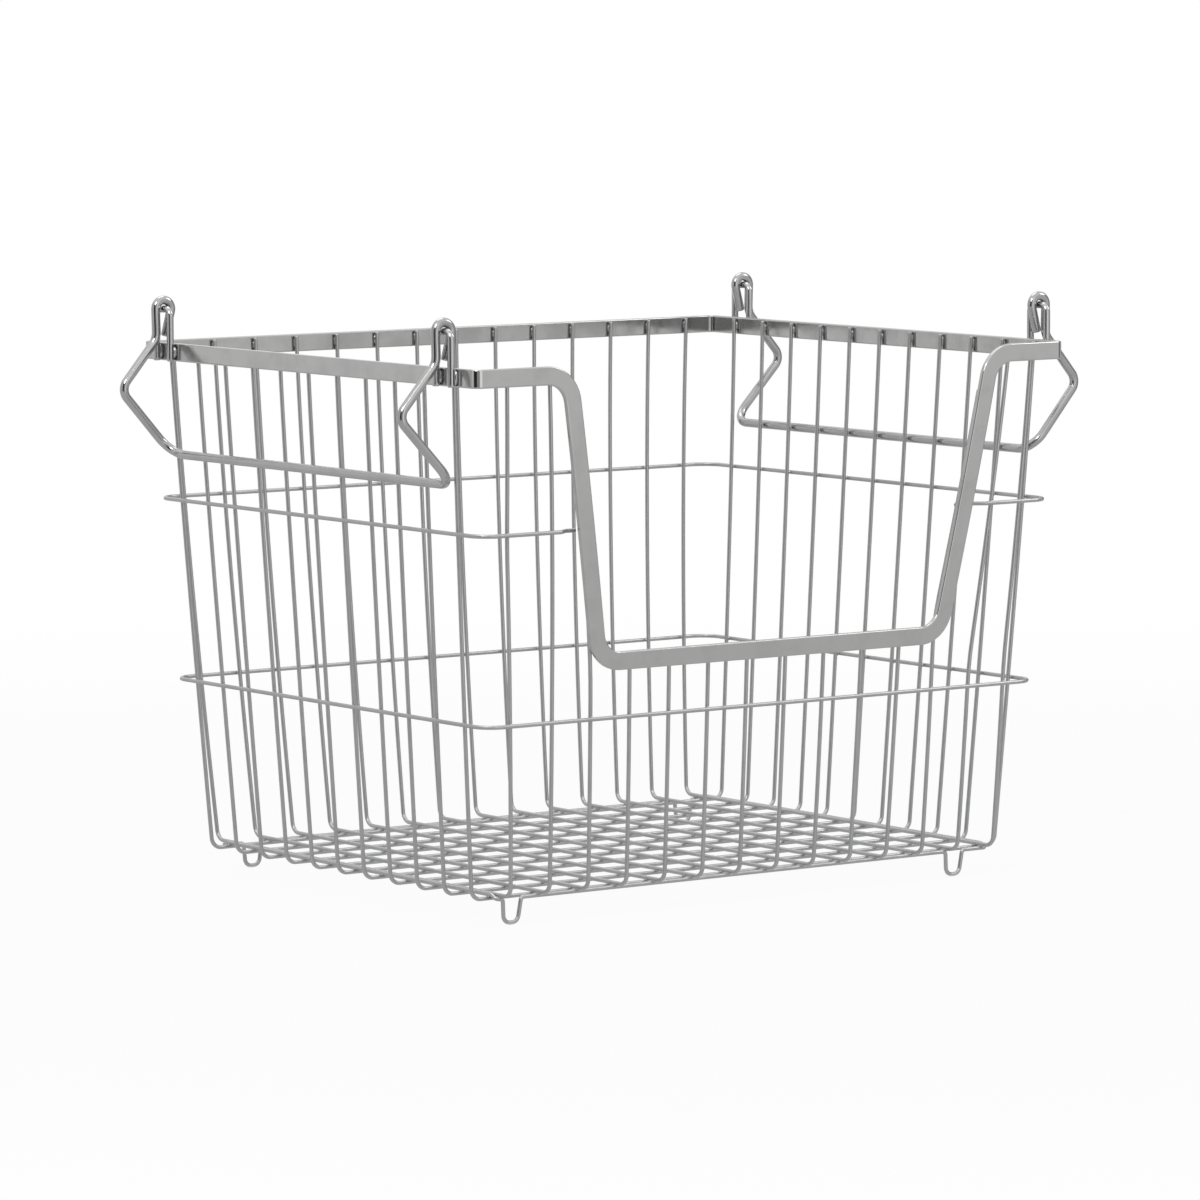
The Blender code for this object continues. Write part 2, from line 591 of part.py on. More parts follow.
def hook_path():
    """One end of a handle as (out, up) from the hinge: free end, over the staple, down to the neck."""
    start = tangent_angle(HOOK_END_OUT, -HOOK_END_DROP, -1) + 2 * math.pi
    end = tangent_angle(HOOK_NECK_OUT, -HOOK_NECK_DROP, 1)
    steps = math.ceil((start - end) / HOOK_ARC_STEP)
    over = [(HOOK_RADIUS * math.cos(angle), HOOK_RADIUS * math.sin(angle))
            for angle in np.linspace(start, end, steps + 1)]
    return [(HOOK_END_OUT, -HOOK_END_DROP)] + over


def make_handle(name, side):
    """A bail: hooks round two staples, arms out to the knees, and a grip bar resting on the wall."""
    hinge_x = side * STAPLE_X
    grip_z = HINGE_Z - GRIP_DROP
    grip_x = side * (end_wall_x(grip_z) + WIRE_REACH + SEAT_GAP + HANDLE_REACH)
    end = [(hinge_x + side * out, STAPLE_HALF_SPREAD, HINGE_Z + rise) for out, rise in hook_path()]
    end.append((hinge_x + side * HOOK_NECK_OUT, STAPLE_HALF_SPREAD, HINGE_Z - HOOK_NECK_DROP))
    end.append((hinge_x + side * KNEE_OUT, STAPLE_HALF_SPREAD - KNEE_INSET, HINGE_Z - KNEE_DROP))
    end.append((grip_x, STAPLE_HALF_SPREAD + GRIP_OUTSET, grip_z))
    corners = end + [(x, -y, z) for x, y, z in reversed(end)]
    radii = [0] * (len(end) - 3) + [NECK_RADIUS, KNEE_RADIUS, GRIP_CORNER_RADIUS]
    path = rounded_path(corners, radii + radii[::-1])
    return wire(name, path, HANDLE_RADIUS, ACROSS, carried=True, sides=HANDLE_SIDES,
                finish=HANDLE_FINISH, origin=(hinge_x, 0, HINGE_Z))


def clear_scene():
    """Removes whatever the file was opened with."""
    for item in list(bpy.data.objects):
        bpy.data.objects.remove(item)


clear_scene()
make_rim()
make_front_rear_wires()
make_left_right_wires()
make_upper_ring()
make_lower_ring()
make_base_ring()
make_staple("staple_left_front", -1, -1)
make_staple("staple_left_rear", -1, 1)
make_staple("staple_right_front", 1, -1)
make_staple("staple_right_rear", 1, 1)
make_handle("left_handle", -1)
make_handle("right_handle", 1)
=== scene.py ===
"""Looks of a chrome-plated wire storage basket: a flat-bar rim with a low front opening, a
grid of U-shaped wires, rings round the walls, wire feet and two bail handles.

Metres, +Z up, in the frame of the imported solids. Each solid is replaced by a smooth piece on
its middle line. The grid's wires are drawn a little thinner than the solids, the two layers of
the floor sink into each other, the rings lie closer to the walls, and weld nuggets join them.
"""

import math

import bpy
import numpy as np
from mathutils import Matrix


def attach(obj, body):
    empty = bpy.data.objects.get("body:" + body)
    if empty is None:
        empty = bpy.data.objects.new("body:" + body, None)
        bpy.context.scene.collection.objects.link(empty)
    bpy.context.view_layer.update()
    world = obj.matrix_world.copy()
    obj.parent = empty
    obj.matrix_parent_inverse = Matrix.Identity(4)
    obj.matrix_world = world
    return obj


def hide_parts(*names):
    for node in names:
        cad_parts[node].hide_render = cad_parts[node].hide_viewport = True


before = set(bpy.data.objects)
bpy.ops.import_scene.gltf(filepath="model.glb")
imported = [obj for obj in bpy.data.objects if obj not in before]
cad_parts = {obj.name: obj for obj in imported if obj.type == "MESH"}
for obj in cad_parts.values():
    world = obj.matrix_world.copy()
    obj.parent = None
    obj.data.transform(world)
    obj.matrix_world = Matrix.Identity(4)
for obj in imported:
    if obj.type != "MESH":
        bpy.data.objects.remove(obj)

# Rim: a flat bar on edge, bent to a rounded rectangle
RIM_LENGTH = 0.400
RIM_DEPTH = 0.3254
RIM_TOP = 0.2987
BAR_HEIGHT = 0.010
BAR_THICKNESS = 0.003
BAR_EDGE_RADIUS = 0.0008
BAR_EDGE_MARGIN = 0.00015
BAR_EDGE_STEPS = 4
RIM_CORNER_RADIUS = 0.0040
BAR_STEP = 0.004

# Scoop: the low opening at the front, along the middle of the bar, which leans to the right
SCOOP_DROP = 0.1592
SCOOP_BOTTOM_MARGIN = 0.0839
SCOOP_SIDE_SLOPE = 0.178
SCOOP_TOP_RADIUS = 0.0165
SCOOP_BOTTOM_RADIUS = 0.016
SCOOP_LEAN = 0.005

# Wires: the solids keep a gap for each weld, where the drawn wires sink towards each other
WIRE_RADIUS = 0.0012
DRAWN_WIRE_RADIUS = 0.00114
STAPLE_RADIUS = 0.0020
HANDLE_RADIUS = 0.0025
SEAT_GAP = 0.0003
WELD_SINK = 0.00035
WIRE_SIDES = 16
HANDLE_SIDES = 24
CAD_WIRE_SIDES = 8
CAD_HANDLE_SIDES = 10
WIRE_STEP = 0.0025
WALL_STEP = 0.010
LEG_BEND_SPAN = 0.012
END_BEVEL_STEPS = 3
END_FLAT_SHARE = 0.7
END_LENGTH_SHARE = 0.4

# Walls: how far they lean inward down to the floor, and how late they start to
FLOOR_DROP = 0.2820
END_WALL_LEAN = 0.0162
LONG_WALL_LEAN = 0.0153
END_WALL_POWER = 1.15
LONG_WALL_POWER = 1.7
FLOOR_BEND_RADIUS = 0.006
WIRE_TOP_SETBACK = 0.001

# Wire grid: its margins to the walls give a pitch of one inch at the floor
FRONT_REAR_WIRES = 14
LEFT_RIGHT_WIRES = 11
FRONT_REAR_FLOOR_MARGIN = 0.0142
LEFT_RIGHT_FLOOR_MARGIN = 0.0159

# Tops of the outermost wires of each wall, from the wall's end: they were set one by one, so all differ
REAR_LEFT_TOP_MARGIN = 0.0128
REAR_RIGHT_TOP_MARGIN = 0.0185
LEFT_FRONT_TOP_MARGIN = 0.0219
LEFT_REAR_TOP_MARGIN = 0.0180
RIGHT_FRONT_TOP_MARGIN = 0.0173
RIGHT_REAR_TOP_MARGIN = 0.0226

# The low wires under the scoop, as if they reached the rim's top
LOW_LEFT_TOP_MARGIN = 0.0141
LOW_RIGHT_TOP_MARGIN = 0.0211

# Front legs beside the scoop: each meets the rim, and bends once on its way to the floor
OUTER_LEFT_TOP_MARGIN = 0.0186
OUTER_LEFT_BEND_MARGIN = 0.0198
OUTER_LEFT_BEND_DROP = 0.0937
OUTER_RIGHT_TOP_MARGIN = 0.0163
OUTER_RIGHT_BEND_MARGIN = 0.0297
OUTER_RIGHT_BEND_DROP = 0.1752
SHOULDER_LEFT_TOP_SETBACK = 0.0110
SHOULDER_LEFT_BEND_OUT = 0.0275
SHOULDER_LEFT_BEND_DROP = 0.1787
SHOULDER_RIGHT_TOP_SETBACK = 0.0149
SHOULDER_RIGHT_BEND_OUT = 0.0246
SHOULDER_RIGHT_BEND_DROP = 0.1769
LEANING_WIRE_TOP_DROP = 0.025
LEANING_LEFT_TOP_INSET = 0.0035
LEANING_LEFT_BEND_OUT = 0.0029
LEANING_LEFT_BEND_DROP = 0.1637
LEANING_RIGHT_TOP_INSET = 0.0025
LEANING_RIGHT_BEND_OUT = -0.0016
LEANING_RIGHT_BEND_DROP = 0.1517

# Rings round the walls
UPPER_RING_DROP = 0.0881
LOWER_RING_BELOW_SCOOP = 0.0306
RING_CORNER_RADIUS = 0.012
RING_HOOK_CLEARANCE = 0.0045
RING_HOOK_SLANT = 0.0065
RING_HOOK_LENGTH = 0.0060
RING_HOOK_RADIUS = 0.002

# Base ring and its feet: each foot stands its own distance from the ring's corner, and the
# bottoms of the front two lean to the left
BASE_LONG_SIDE_INSET = 0.0094
BASE_STEP_LENGTH = 0.0046
BASE_STEP_RADIUS = 0.0024
BASE_CORNER_RADIUS = 0.0020
REAR_RIGHT_FOOT_SETBACK = 0.0125
REAR_LEFT_FOOT_SETBACK = 0.0195
FRONT_LEFT_FOOT_SETBACK = 0.0102
FRONT_RIGHT_FOOT_SETBACK = 0.0230
FRONT_FOOT_LEAN = -0.0010
FOOT_BOTTOM_WIDTH = 0.0090
FOOT_TOP_WIDTH = 0.0120
FOOT_BOTTOM_RADIUS = 0.0042
FOOT_TOP_RADIUS = 0.0020

# Staples that carry the handles, welded on the rim's outer face
STAPLE_INSET = 0.0260
STAPLE_LEG_SPACING = 0.014
STAPLE_BEND_RADIUS = 0.004
HINGE_RISE = 0.0189

# Handles: hook at each end, arms out to a knee, then down to a bar that rests on the wall
HOOK_CLEARANCE = 0.0005
HOOK_NECK_DROP = 0.0165
HOOK_NECK_OUT = 0.0046
HOOK_END_OUT = -0.0012
HOOK_END_DROP = 0.0152
NECK_RADIUS = 0.010
KNEE_OUT = 0.0287
KNEE_INSET = 0.0005
KNEE_DROP = 0.0439
KNEE_RADIUS = 0.007
GRIP_DROP = 0.0809
GRIP_OUTSET = 0.0013
GRIP_CORNER_RADIUS = 0.012

# Weld nuggets: half sizes along the crossing wires and through them, and along a bar
CROSSING_NUGGET = (0.00135, 0.00135, 0.00050)
BAR_NUGGET = (0.0026, 0.00105, 0.00060)
STAPLE_NUGGET = (0.0042, 0.00200, 0.00110)
NUGGET_TURNS = 10
NUGGET_ROWS = 6
NUGGET_UNEVENNESS_SHARE = 0.18
NUGGET_SEED = 7
LEANING_WIRE_NUGGET_PITCH = 0.038

# Plating: colour, roughness and how strongly drawn lines show
BAR_PLATING = ((0.55, 0.55, 0.545), 0.07, 1.0)
WIRE_PLATING = ((0.50, 0.50, 0.50), 0.34, 0.1)
STAPLE_PLATING = ((0.54, 0.54, 0.54), 0.12, 0.8)
HANDLE_PLATING = ((0.49, 0.49, 0.49), 0.09, 0.6)
WELD_COLOUR = (0.62, 0.62, 0.62)
WELD_ROUGHNESS = 0.28

# Plating detail: how close together, how fine, how deep, and how much it changes the finish
LINE_SCALE = (25.0, 5000.0, 1.0)
LINE_DETAIL = 3.0
LINE_DEPTH = 0.000001
RIPPLE_SCALE = 140.0
RIPPLE_DETAIL = 2.0
RIPPLE_DEPTH = 0.000018
SMUDGE_SCALE = 60.0
SMUDGE_DETAIL = 5.0
SMUDGE_GRAIN_SHARE = 0.6
SMUDGE_EDGES = (0.42, 0.68)
PIT_SCALE = 1600.0
PIT_DETAIL = 1.0
PIT_EDGES = (0.76, 0.84)
PIT_DEPTH = 0.000005
LUMP_SCALE = 900.0
LUMP_DETAIL = 3.0
LUMP_DEPTH = 0.000008
# The weld's hollows: painted shade, darkening the low spots of its lumps
HOLLOW_SHADE_EDGES = (0.48, 0.34)
HAZE_ROUGHNESS = 0.10
HAZE_COLOUR_SHARE = 0.93
# Darker share of a colour: real pits in the plating, and painted shade in the weld's hollows
PIT_AND_HOLLOW_SHADE_SHARE = 0.60
PLAIN_GRAIN_SHARE = 0.5

# Sockets that a node gives by number
OBJECT_PLACE = 3
VECTOR_MEASURE = 1
FIRST_COLOUR = 6
SECOND_COLOUR = 7
MIXED_COLOUR = 2

# Fineness of the bends
ARC_STEP = math.radians(7.5)

UP = np.array((0.0, 0.0, 1.0))
ALONG = np.array((1.0, 0.0, 0.0))
ACROSS = np.array((0.0, 1.0, 0.0))

# How far the solids' faceted sections reach past the round radius
WIRE_REACH = WIRE_RADIUS / math.cos(math.pi / CAD_WIRE_SIDES)
HANDLE_REACH = HANDLE_RADIUS / math.cos(math.pi / CAD_HANDLE_SIDES)

# Wire centres lie this far inside the rim's outer face at the top
WALL_INSET = BAR_THICKNESS + SEAT_GAP + WIRE_RADIUS
TOP_HALF_LENGTH = RIM_LENGTH / 2 - WALL_INSET
TOP_HALF_DEPTH = RIM_DEPTH / 2 - WALL_INSET
FLOOR_HALF_LENGTH = TOP_HALF_LENGTH - END_WALL_LEAN
FLOOR_HALF_DEPTH = TOP_HALF_DEPTH - LONG_WALL_LEAN
WIRE_TO_BAR = WIRE_RADIUS + SEAT_GAP + BAR_THICKNESS / 2
WIRE_TO_WIRE = 2 * WIRE_RADIUS + SEAT_GAP
RING_TO_WIRE = WIRE_TO_WIRE - WELD_SINK

# Heights of the two layers of wire at the floor, of the bar's middle and of the rings
UPPER_FLOOR_Z = RIM_TOP - FLOOR_DROP - WELD_SINK
LOWER_FLOOR_Z = RIM_TOP - FLOOR_DROP - WIRE_TO_WIRE + WELD_SINK
FOOT_Z = WIRE_RADIUS
BAR_MIDDLE_Z = RIM_TOP - BAR_HEIGHT / 2
SCOOP_Z = RIM_TOP - SCOOP_DROP
WIRE_TOP_Z = RIM_TOP - WIRE_TOP_SETBACK
UPPER_RING_Z = RIM_TOP - UPPER_RING_DROP
LOWER_RING_Z = SCOOP_Z - LOWER_RING_BELOW_SCOOP

# The scoop and the wires beside it
SCOOP_BOTTOM_HALF = RIM_LENGTH / 2 - SCOOP_BOTTOM_MARGIN
LEANING_WIRE_TOP_Z = RIM_TOP - LEANING_WIRE_TOP_DROP
LOW_WIRE_TOP_Z = SCOOP_Z + BAR_HEIGHT / 2 - WIRE_TOP_SETBACK

# The two wires that lean along the scoop's slanted bar, counted from the left
LEANING_WIRES = (2, FRONT_REAR_WIRES - 3)

# The outermost floor wires, and the base ring just outside them
FRONT_REAR_FLOOR_HALF = FLOOR_HALF_LENGTH - FRONT_REAR_FLOOR_MARGIN
LEFT_RIGHT_FLOOR_HALF = FLOOR_HALF_DEPTH - LEFT_RIGHT_FLOOR_MARGIN
BASE_HALF_LENGTH = FRONT_REAR_FLOOR_HALF + WIRE_TO_WIRE
BASE_HALF_DEPTH = FLOOR_HALF_DEPTH - BASE_LONG_SIDE_INSET

# Staples and hinges
STAPLE_X = RIM_LENGTH / 2 + SEAT_GAP + STAPLE_RADIUS
STAPLE_HALF_SPREAD = RIM_DEPTH / 2 - STAPLE_INSET
HINGE_Z = RIM_TOP + HINGE_RISE
HOOK_RADIUS = STAPLE_RADIUS + HANDLE_RADIUS + HOOK_CLEARANCE

# Camera and floor
CAMERA_PLACE = (-2.1835, -2.9972, 0.5248)
CAMERA_YAW = math.radians(36.05)
CAMERA_PITCH = math.radians(5.72)
CAMERA_ROLL = math.radians(-0.17)
CAMERA_LENS_TO_FRAME = 6656 / 1200
SENSOR_MILLIMETRES = 36
CAMERA_REACH = 100.0
FLOOR_RADIUS = 2.0
FLOOR_FADE_START = 0.5
FLOOR_FADE_END = 1.6
FLOOR_WHITE_SHARE = 0.93
FLOOR_COLOUR = (0.86, 0.86, 0.86)
WORLD_LIGHT = 0.45
CIRCLE_SIDES = 96

# Lamps: place, size and power
KEY_LAMP = ((-1.9, -1.1, 2.0), 1.0, 17.0)
FILL_LAMP = ((2.1, -1.2, 1.8), 1.0, 10.0)
TOP_LAMP = ((0.3, 0.9, 2.4), 1.3, 8.0)

# Reflector: a bowl of grey card round the basket that only the plating mirrors, its floor a
# little darker close by. Each panel is (compass turn from the right wall, half width, brightness).
REFLECTOR_NEAR = 0.01
REFLECTOR_RADIUS = 3.6
REFLECTOR_TOP = 2.6
PANEL_FADE_START = 0.9
PANEL_FADE_END = 1.8
REFLECTOR_LIFT = 0.001
REFLECTOR_NEAR_GREY = 0.62
REFLECTOR_FAR_GREY = 0.73
REFLECTOR_PANELS = ((math.radians(240), math.radians(12), 0.34),
                    (math.radians(206), math.radians(18), 0.02),
                    (math.radians(264), math.radians(12), 1.20),
                    (math.radians(152), math.radians(8), 0.45),
                    (math.radians(70), math.radians(14), 1.0),
                    (math.radians(20), math.radians(10), 0.10),
                    (math.radians(338), math.radians(10), 0.15))
PANEL_SOFTNESS = math.radians(4)


# Shapes

def unit(vectors):
    """The vectors at length one."""
    return vectors / np.linalg.norm(vectors, axis=-1, keepdims=True)


def wall_share(z):
    """How far down the wall a height is, from 0 at the rim's top to 1 at the floor."""
    return max(0.0, (RIM_TOP - z) / FLOOR_DROP)


def end_wall_x(z):
    """Half distance between the end walls' wire centres: top less lean times share to a power."""
    return TOP_HALF_LENGTH - END_WALL_LEAN * wall_share(z) ** END_WALL_POWER


def long_wall_y(z):
    """Half distance between the front and rear walls' wire centres, by the same kind of curve."""
    return TOP_HALF_DEPTH - LONG_WALL_LEAN * wall_share(z) ** LONG_WALL_POWER


def rounded_path(corners, radii, closed=False, step=ARC_STEP):
    """The path through the corners, with an arc of the given radius at each (0 leaves it sharp)."""
    corners = [np.array(corner, float) for corner in corners]
    points = []
    for index, (corner, radius) in enumerate(zip(corners, radii)):
        end = not closed and index in (0, len(corners) - 1)
        if end or radius == 0:
            points.append(corner)
            continue
        back = unit(corners[index - 1] - corner)
        ahead = unit(corners[(index + 1) % len(corners)] - corner)
        turn = math.pi - math.acos(float(np.clip(back @ ahead, -1, 1)))
        tangent = radius * math.tan(turn / 2)
        centre = corner + unit(back + ahead) * radius / math.cos(turn / 2)
        start = corner + back * tangent - centre
        side = unit(-back)
        steps = max(2, math.ceil(turn / step))
        for angle in np.linspace(0, turn, steps + 1):
            points.append(centre + start * math.cos(angle) + side * radius * math.sin(angle))
    return np.array(points)


def with_steps(points, longest, closed=False):
    """The path with its long stretches divided evenly, so that no step is longer than asked."""
    ends = np.roll(points, -1, axis=0) if closed else points[1:]
    starts = points if closed else points[:-1]
    pieces = []
    for start, end in zip(starts, ends):
        count = max(1, math.ceil(float(np.linalg.norm(end - start)) / longest))
        shares = np.arange(count)[:, None] / count
        pieces.append(start + (end - start) * shares)
    if not closed:
        pieces.append(points[-1:])
    return np.concatenate(pieces)


def path_frames(points, reference, closed, carried):
    """Sideways, upright and forward unit vectors at each point.

    The plane of each section halves the bend, and forward is square to it. With carried,
    upright is carried from point to point, and otherwise it's the reference direction made
    square to the path.
    """
    ends = np.roll(points, -1, axis=0) if closed else points[1:]
    heads = unit(ends - (points if closed else points[:-1]))
    before = np.roll(heads, 1, axis=0) if closed else np.vstack((heads[:1], heads))
    after = heads if closed else np.vstack((heads, heads[-1:]))
    planes = unit(before + after)
    uprights = np.empty_like(planes)
    upright = np.array(reference, float)
    for index, plane in enumerate(planes):
        uprights[index] = unit(upright - (upright @ plane) * plane)
        if carried:
            upright = uprights[index]
    return np.cross(planes, uprights), uprights, planes


def round_section(radius, sides):
    """A circle as (sideways, upright) offsets: radius times the sine and cosine of the turn."""
    angles = np.arange(sides) * 2 * math.pi / sides
    return radius * np.stack((np.sin(angles), np.cos(angles)), axis=-1)


def sweep(points, section, sideways, uprights):
    """Rings of a tube: each path point plus the section's offsets along its two directions."""
    return (points[:, None] + section[:, 0, None] * sideways[:, None]
            + section[:, 1, None] * uprights[:, None])


def bevelled_ends(rings, points, radius):
    """The rings of an open wire, with each cut tip's edge rounded by a quarter ellipse."""
    length = END_LENGTH_SHARE * radius
    tips = []
    for end, inner in ((0, 1), (-1, -2)):
        inward = unit(points[inner] - points[end])
        ring = rings[end].copy()
        rings[end] = ring + inward * length
        rows = []
        for turn in np.linspace(0, math.pi / 2, END_BEVEL_STEPS + 1)[1:]:
            width = END_FLAT_SHARE + (1 - END_FLAT_SHARE) * math.cos(turn)
            back = inward * length * (1 - math.sin(turn))
            rows.append(points[end] + (ring - points[end]) * width + back)
        tips.append(np.array(rows))
    return np.concatenate((tips[0][::-1], rings, tips[1]))


def tube_object(name, rings, closed, material):
    """A tube through the rings, capped when open, with metres along and round it as its UV map."""
    count, sides = rings.shape[:2]
    index = np.arange(count * sides).reshape(count, sides)
    near = index if closed else index[:-1]
    far = np.roll(index, -1, axis=0) if closed else index[1:]
    quads = np.stack((near, np.roll(near, -1, axis=1), np.roll(far, -1, axis=1), far), axis=-1)
    faces = quads.reshape(-1, 4).tolist()
    if not closed:
        faces.append(index[0][::-1].tolist())
        faces.append(index[-1].tolist())
    mesh = bpy.data.meshes.new(name)
    mesh.from_pydata(rings.reshape(-1, 3).tolist(), [], faces)
    middles = rings.mean(axis=1)
    lengths = np.linalg.norm(np.roll(middles, -1, axis=0) - middles, axis=1)
    along = np.concatenate(((0,), np.cumsum(lengths)))
    girths = np.linalg.norm(np.roll(rings[0], -1, axis=0) - rings[0], axis=1)
    around = np.concatenate(((0,), np.cumsum(girths)))
    rows = len(near)
    u = np.stack((along[:rows], along[:rows], along[1:rows + 1], along[1:rows + 1]), axis=-1)
    v = np.stack((around[:-1], around[1:], around[1:], around[:-1]), axis=-1)
    flat = np.zeros((len(mesh.loops), 2))
    flat[:rows * sides * 4, 0] = np.repeat(u[:, None], sides, axis=1).reshape(-1)
    flat[:rows * sides * 4, 1] = np.tile(v, (rows, 1, 1)).reshape(-1)
    layer = mesh.uv_layers.new(name="metres")
    layer.uv.foreach_set("vector", flat.astype(np.float32).ravel())
    return finished(name, mesh, material)


def finished(name, mesh, material):
    """The mesh as a smooth-shaded object with its material."""
    mesh.validate()
    mesh.update()
    mesh.materials.append(material)
    mesh.shade_smooth()
    made = bpy.data.objects.new(name, mesh)
    bpy.context.scene.collection.objects.link(made)
    return made


def fit(piece, node, body):
    """Puts a piece in the place of its solid."""
    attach(piece, body)
    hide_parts(node)
    return piece


def wire(node, corners, reference, radius=DRAWN_WIRE_RADIUS, closed=False, carried=False,
         sides=WIRE_SIDES, finish="basket_wire", body="basket"):
    """A round wire along a path, in the place of its solid."""
    points = with_steps(corners, WIRE_STEP, closed)
    sideways, uprights, _ = path_frames(points, reference, closed, carried)
    rings = sweep(points, round_section(radius, sides), sideways, uprights)
    if not closed:
        rings = bevelled_ends(rings, points, radius)
    piece = tube_object("plated_" + node, rings, closed, MATERIALS[finish])
    return fit(piece, node, body)


# Rim

def scoop_side_x(side, z):
    """Where the middle of the scoop's slanted bar stands on a side (-1 or 1) at a height."""
    rise = z - SCOOP_Z
    lean = SCOOP_LEAN * rise / (BAR_MIDDLE_Z - SCOOP_Z)
    return side * (SCOOP_BOTTOM_HALF + rise * SCOOP_SIDE_SLOPE) + lean


def front_bar_path():
    """The bar's middle line along the front, from left to right, on the wall's curve."""
    corners = [(-RIM_LENGTH / 2, 0, BAR_MIDDLE_Z), (scoop_side_x(-1, BAR_MIDDLE_Z), 0, BAR_MIDDLE_Z),
               (scoop_side_x(-1, SCOOP_Z), 0, SCOOP_Z), (scoop_side_x(1, SCOOP_Z), 0, SCOOP_Z),
               (scoop_side_x(1, BAR_MIDDLE_Z), 0, BAR_MIDDLE_Z), (RIM_LENGTH / 2, 0, BAR_MIDDLE_Z)]
    radii = (0, SCOOP_TOP_RADIUS, SCOOP_BOTTOM_RADIUS, SCOOP_BOTTOM_RADIUS, SCOOP_TOP_RADIUS, 0)
    flat = with_steps(rounded_path(corners, radii)[1:-1], BAR_STEP)
    return np.array([(x, -long_wall_y(z) - WIRE_TO_BAR, z) for x, _, z in flat])


def bar_section():
    """The bar's rounded rectangle as (outward, upright) offsets, with close points beside each edge."""
    inner = np.array((BAR_THICKNESS / 2 - BAR_EDGE_RADIUS, BAR_HEIGHT / 2 - BAR_EDGE_RADIUS))
    turns = np.linspace(0, math.pi / 2, BAR_EDGE_STEPS + 1)
    arc = inner + BAR_EDGE_RADIUS * np.stack((np.sin(turns), np.cos(turns)), axis=-1)
    before = arc[:1] - (BAR_EDGE_MARGIN, 0)
    after = arc[-1:] - (0, BAR_EDGE_MARGIN)
    quarter = np.vstack((before, arc, after))
    half = np.vstack((quarter, quarter[::-1] * (1, -1)))
    return np.vstack((half, -half))


def wall_outward(point):
    """The direction straight out of the wall at a point of the bar."""
    x, y, z = point
    half_length = RIM_LENGTH / 2 - BAR_THICKNESS / 2 - RIM_CORNER_RADIUS
    half_depth = RIM_DEPTH / 2 - BAR_THICKNESS / 2 - RIM_CORNER_RADIUS
    if abs(x) > half_length or abs(y) > half_depth and z >= BAR_MIDDLE_Z:
        beside_x = np.sign(x) * max(0.0, abs(x) - half_length)
        beside_y = np.sign(y) * max(0.0, abs(y) - half_depth)
        return unit(np.array((beside_x, beside_y, 0.0)))
    slope = (long_wall_y(z + WIRE_RADIUS) - long_wall_y(z - WIRE_RADIUS)) / (2 * WIRE_RADIUS)
    return unit(np.array((0.0, -1.0, -slope)))


def make_rim():
    """The flat bar: round the corners and down through the scoop."""
    half_length = (RIM_LENGTH - BAR_THICKNESS) / 2
    half_depth = (RIM_DEPTH - BAR_THICKNESS) / 2
    corners = [(half_length, -half_depth, BAR_MIDDLE_Z), (half_length, half_depth, BAR_MIDDLE_Z),
               (-half_length, half_depth, BAR_MIDDLE_Z), (-half_length, -half_depth, BAR_MIDDLE_Z)]
    bends = rounded_path(corners, [RIM_CORNER_RADIUS] * len(corners), closed=True)
    points = np.vstack((with_steps(bends, BAR_STEP), front_bar_path()))
    _, _, planes = path_frames(points, UP, True, False)
    outward = np.array([wall_outward(point) for point in points])
    outward = unit(outward - np.sum(outward * planes, axis=1)[:, None] * planes)
    rings = sweep(points, bar_section(), outward, np.cross(outward, planes))
    return fit(tube_object("plated_rim", rings, True, MATERIALS["rim_bar"]), "rim", "basket")


# Basket wires

def wall_heights(top, bottom):
    """Heights of a wall wire's points, from its top down to the floor bend."""
    count = math.ceil((top - bottom) / WALL_STEP)
    return np.linspace(top, bottom, count)


def u_wire_path(first, second):
    """A U down one wall, across the floor and up the other, from each wall's places, top first."""
    radii = [0] * (len(first) - 1) + [FLOOR_BEND_RADIUS] * 2 + [0] * (len(second) - 1)
    return rounded_path(first + second[::-1], radii)


def fan(share, tops, floor_half, z):
    """Where a wire of a wall stands along it at a height, from the outermost wires' places.

    share is 0 for the wall's first wire and 1 for its last one. tops are those two at the
    rim's top, and at the floor they stand floor_half to either side of the middle.
    """
    top = tops[0] + (tops[1] - tops[0]) * share
    floor = floor_half * (share - (1 - share))
    return top + (floor - top) * wall_share(z)


def front_rear_fan(index, z, left_margin=REAR_LEFT_TOP_MARGIN, right_margin=REAR_RIGHT_TOP_MARGIN):
    """Where a front-rear wire stands along its wall at a height: along the rear one unless said."""
    tops = (left_margin - TOP_HALF_LENGTH, TOP_HALF_LENGTH - right_margin)
    return fan(index / (FRONT_REAR_WIRES - 1), tops, FRONT_REAR_FLOOR_HALF, z)


def left_right_fan(side, index, z):
    """Where a left-right wire stands along the wall on a side (-1 or 1) at a height."""
    front_margin = LEFT_FRONT_TOP_MARGIN if side < 0 else RIGHT_FRONT_TOP_MARGIN
    rear_margin = LEFT_REAR_TOP_MARGIN if side < 0 else RIGHT_REAR_TOP_MARGIN
    tops = (front_margin - TOP_HALF_DEPTH, TOP_HALF_DEPTH - rear_margin)
    return fan(index / (LEFT_RIGHT_WIRES - 1), tops, LEFT_RIGHT_FLOOR_HALF, z)


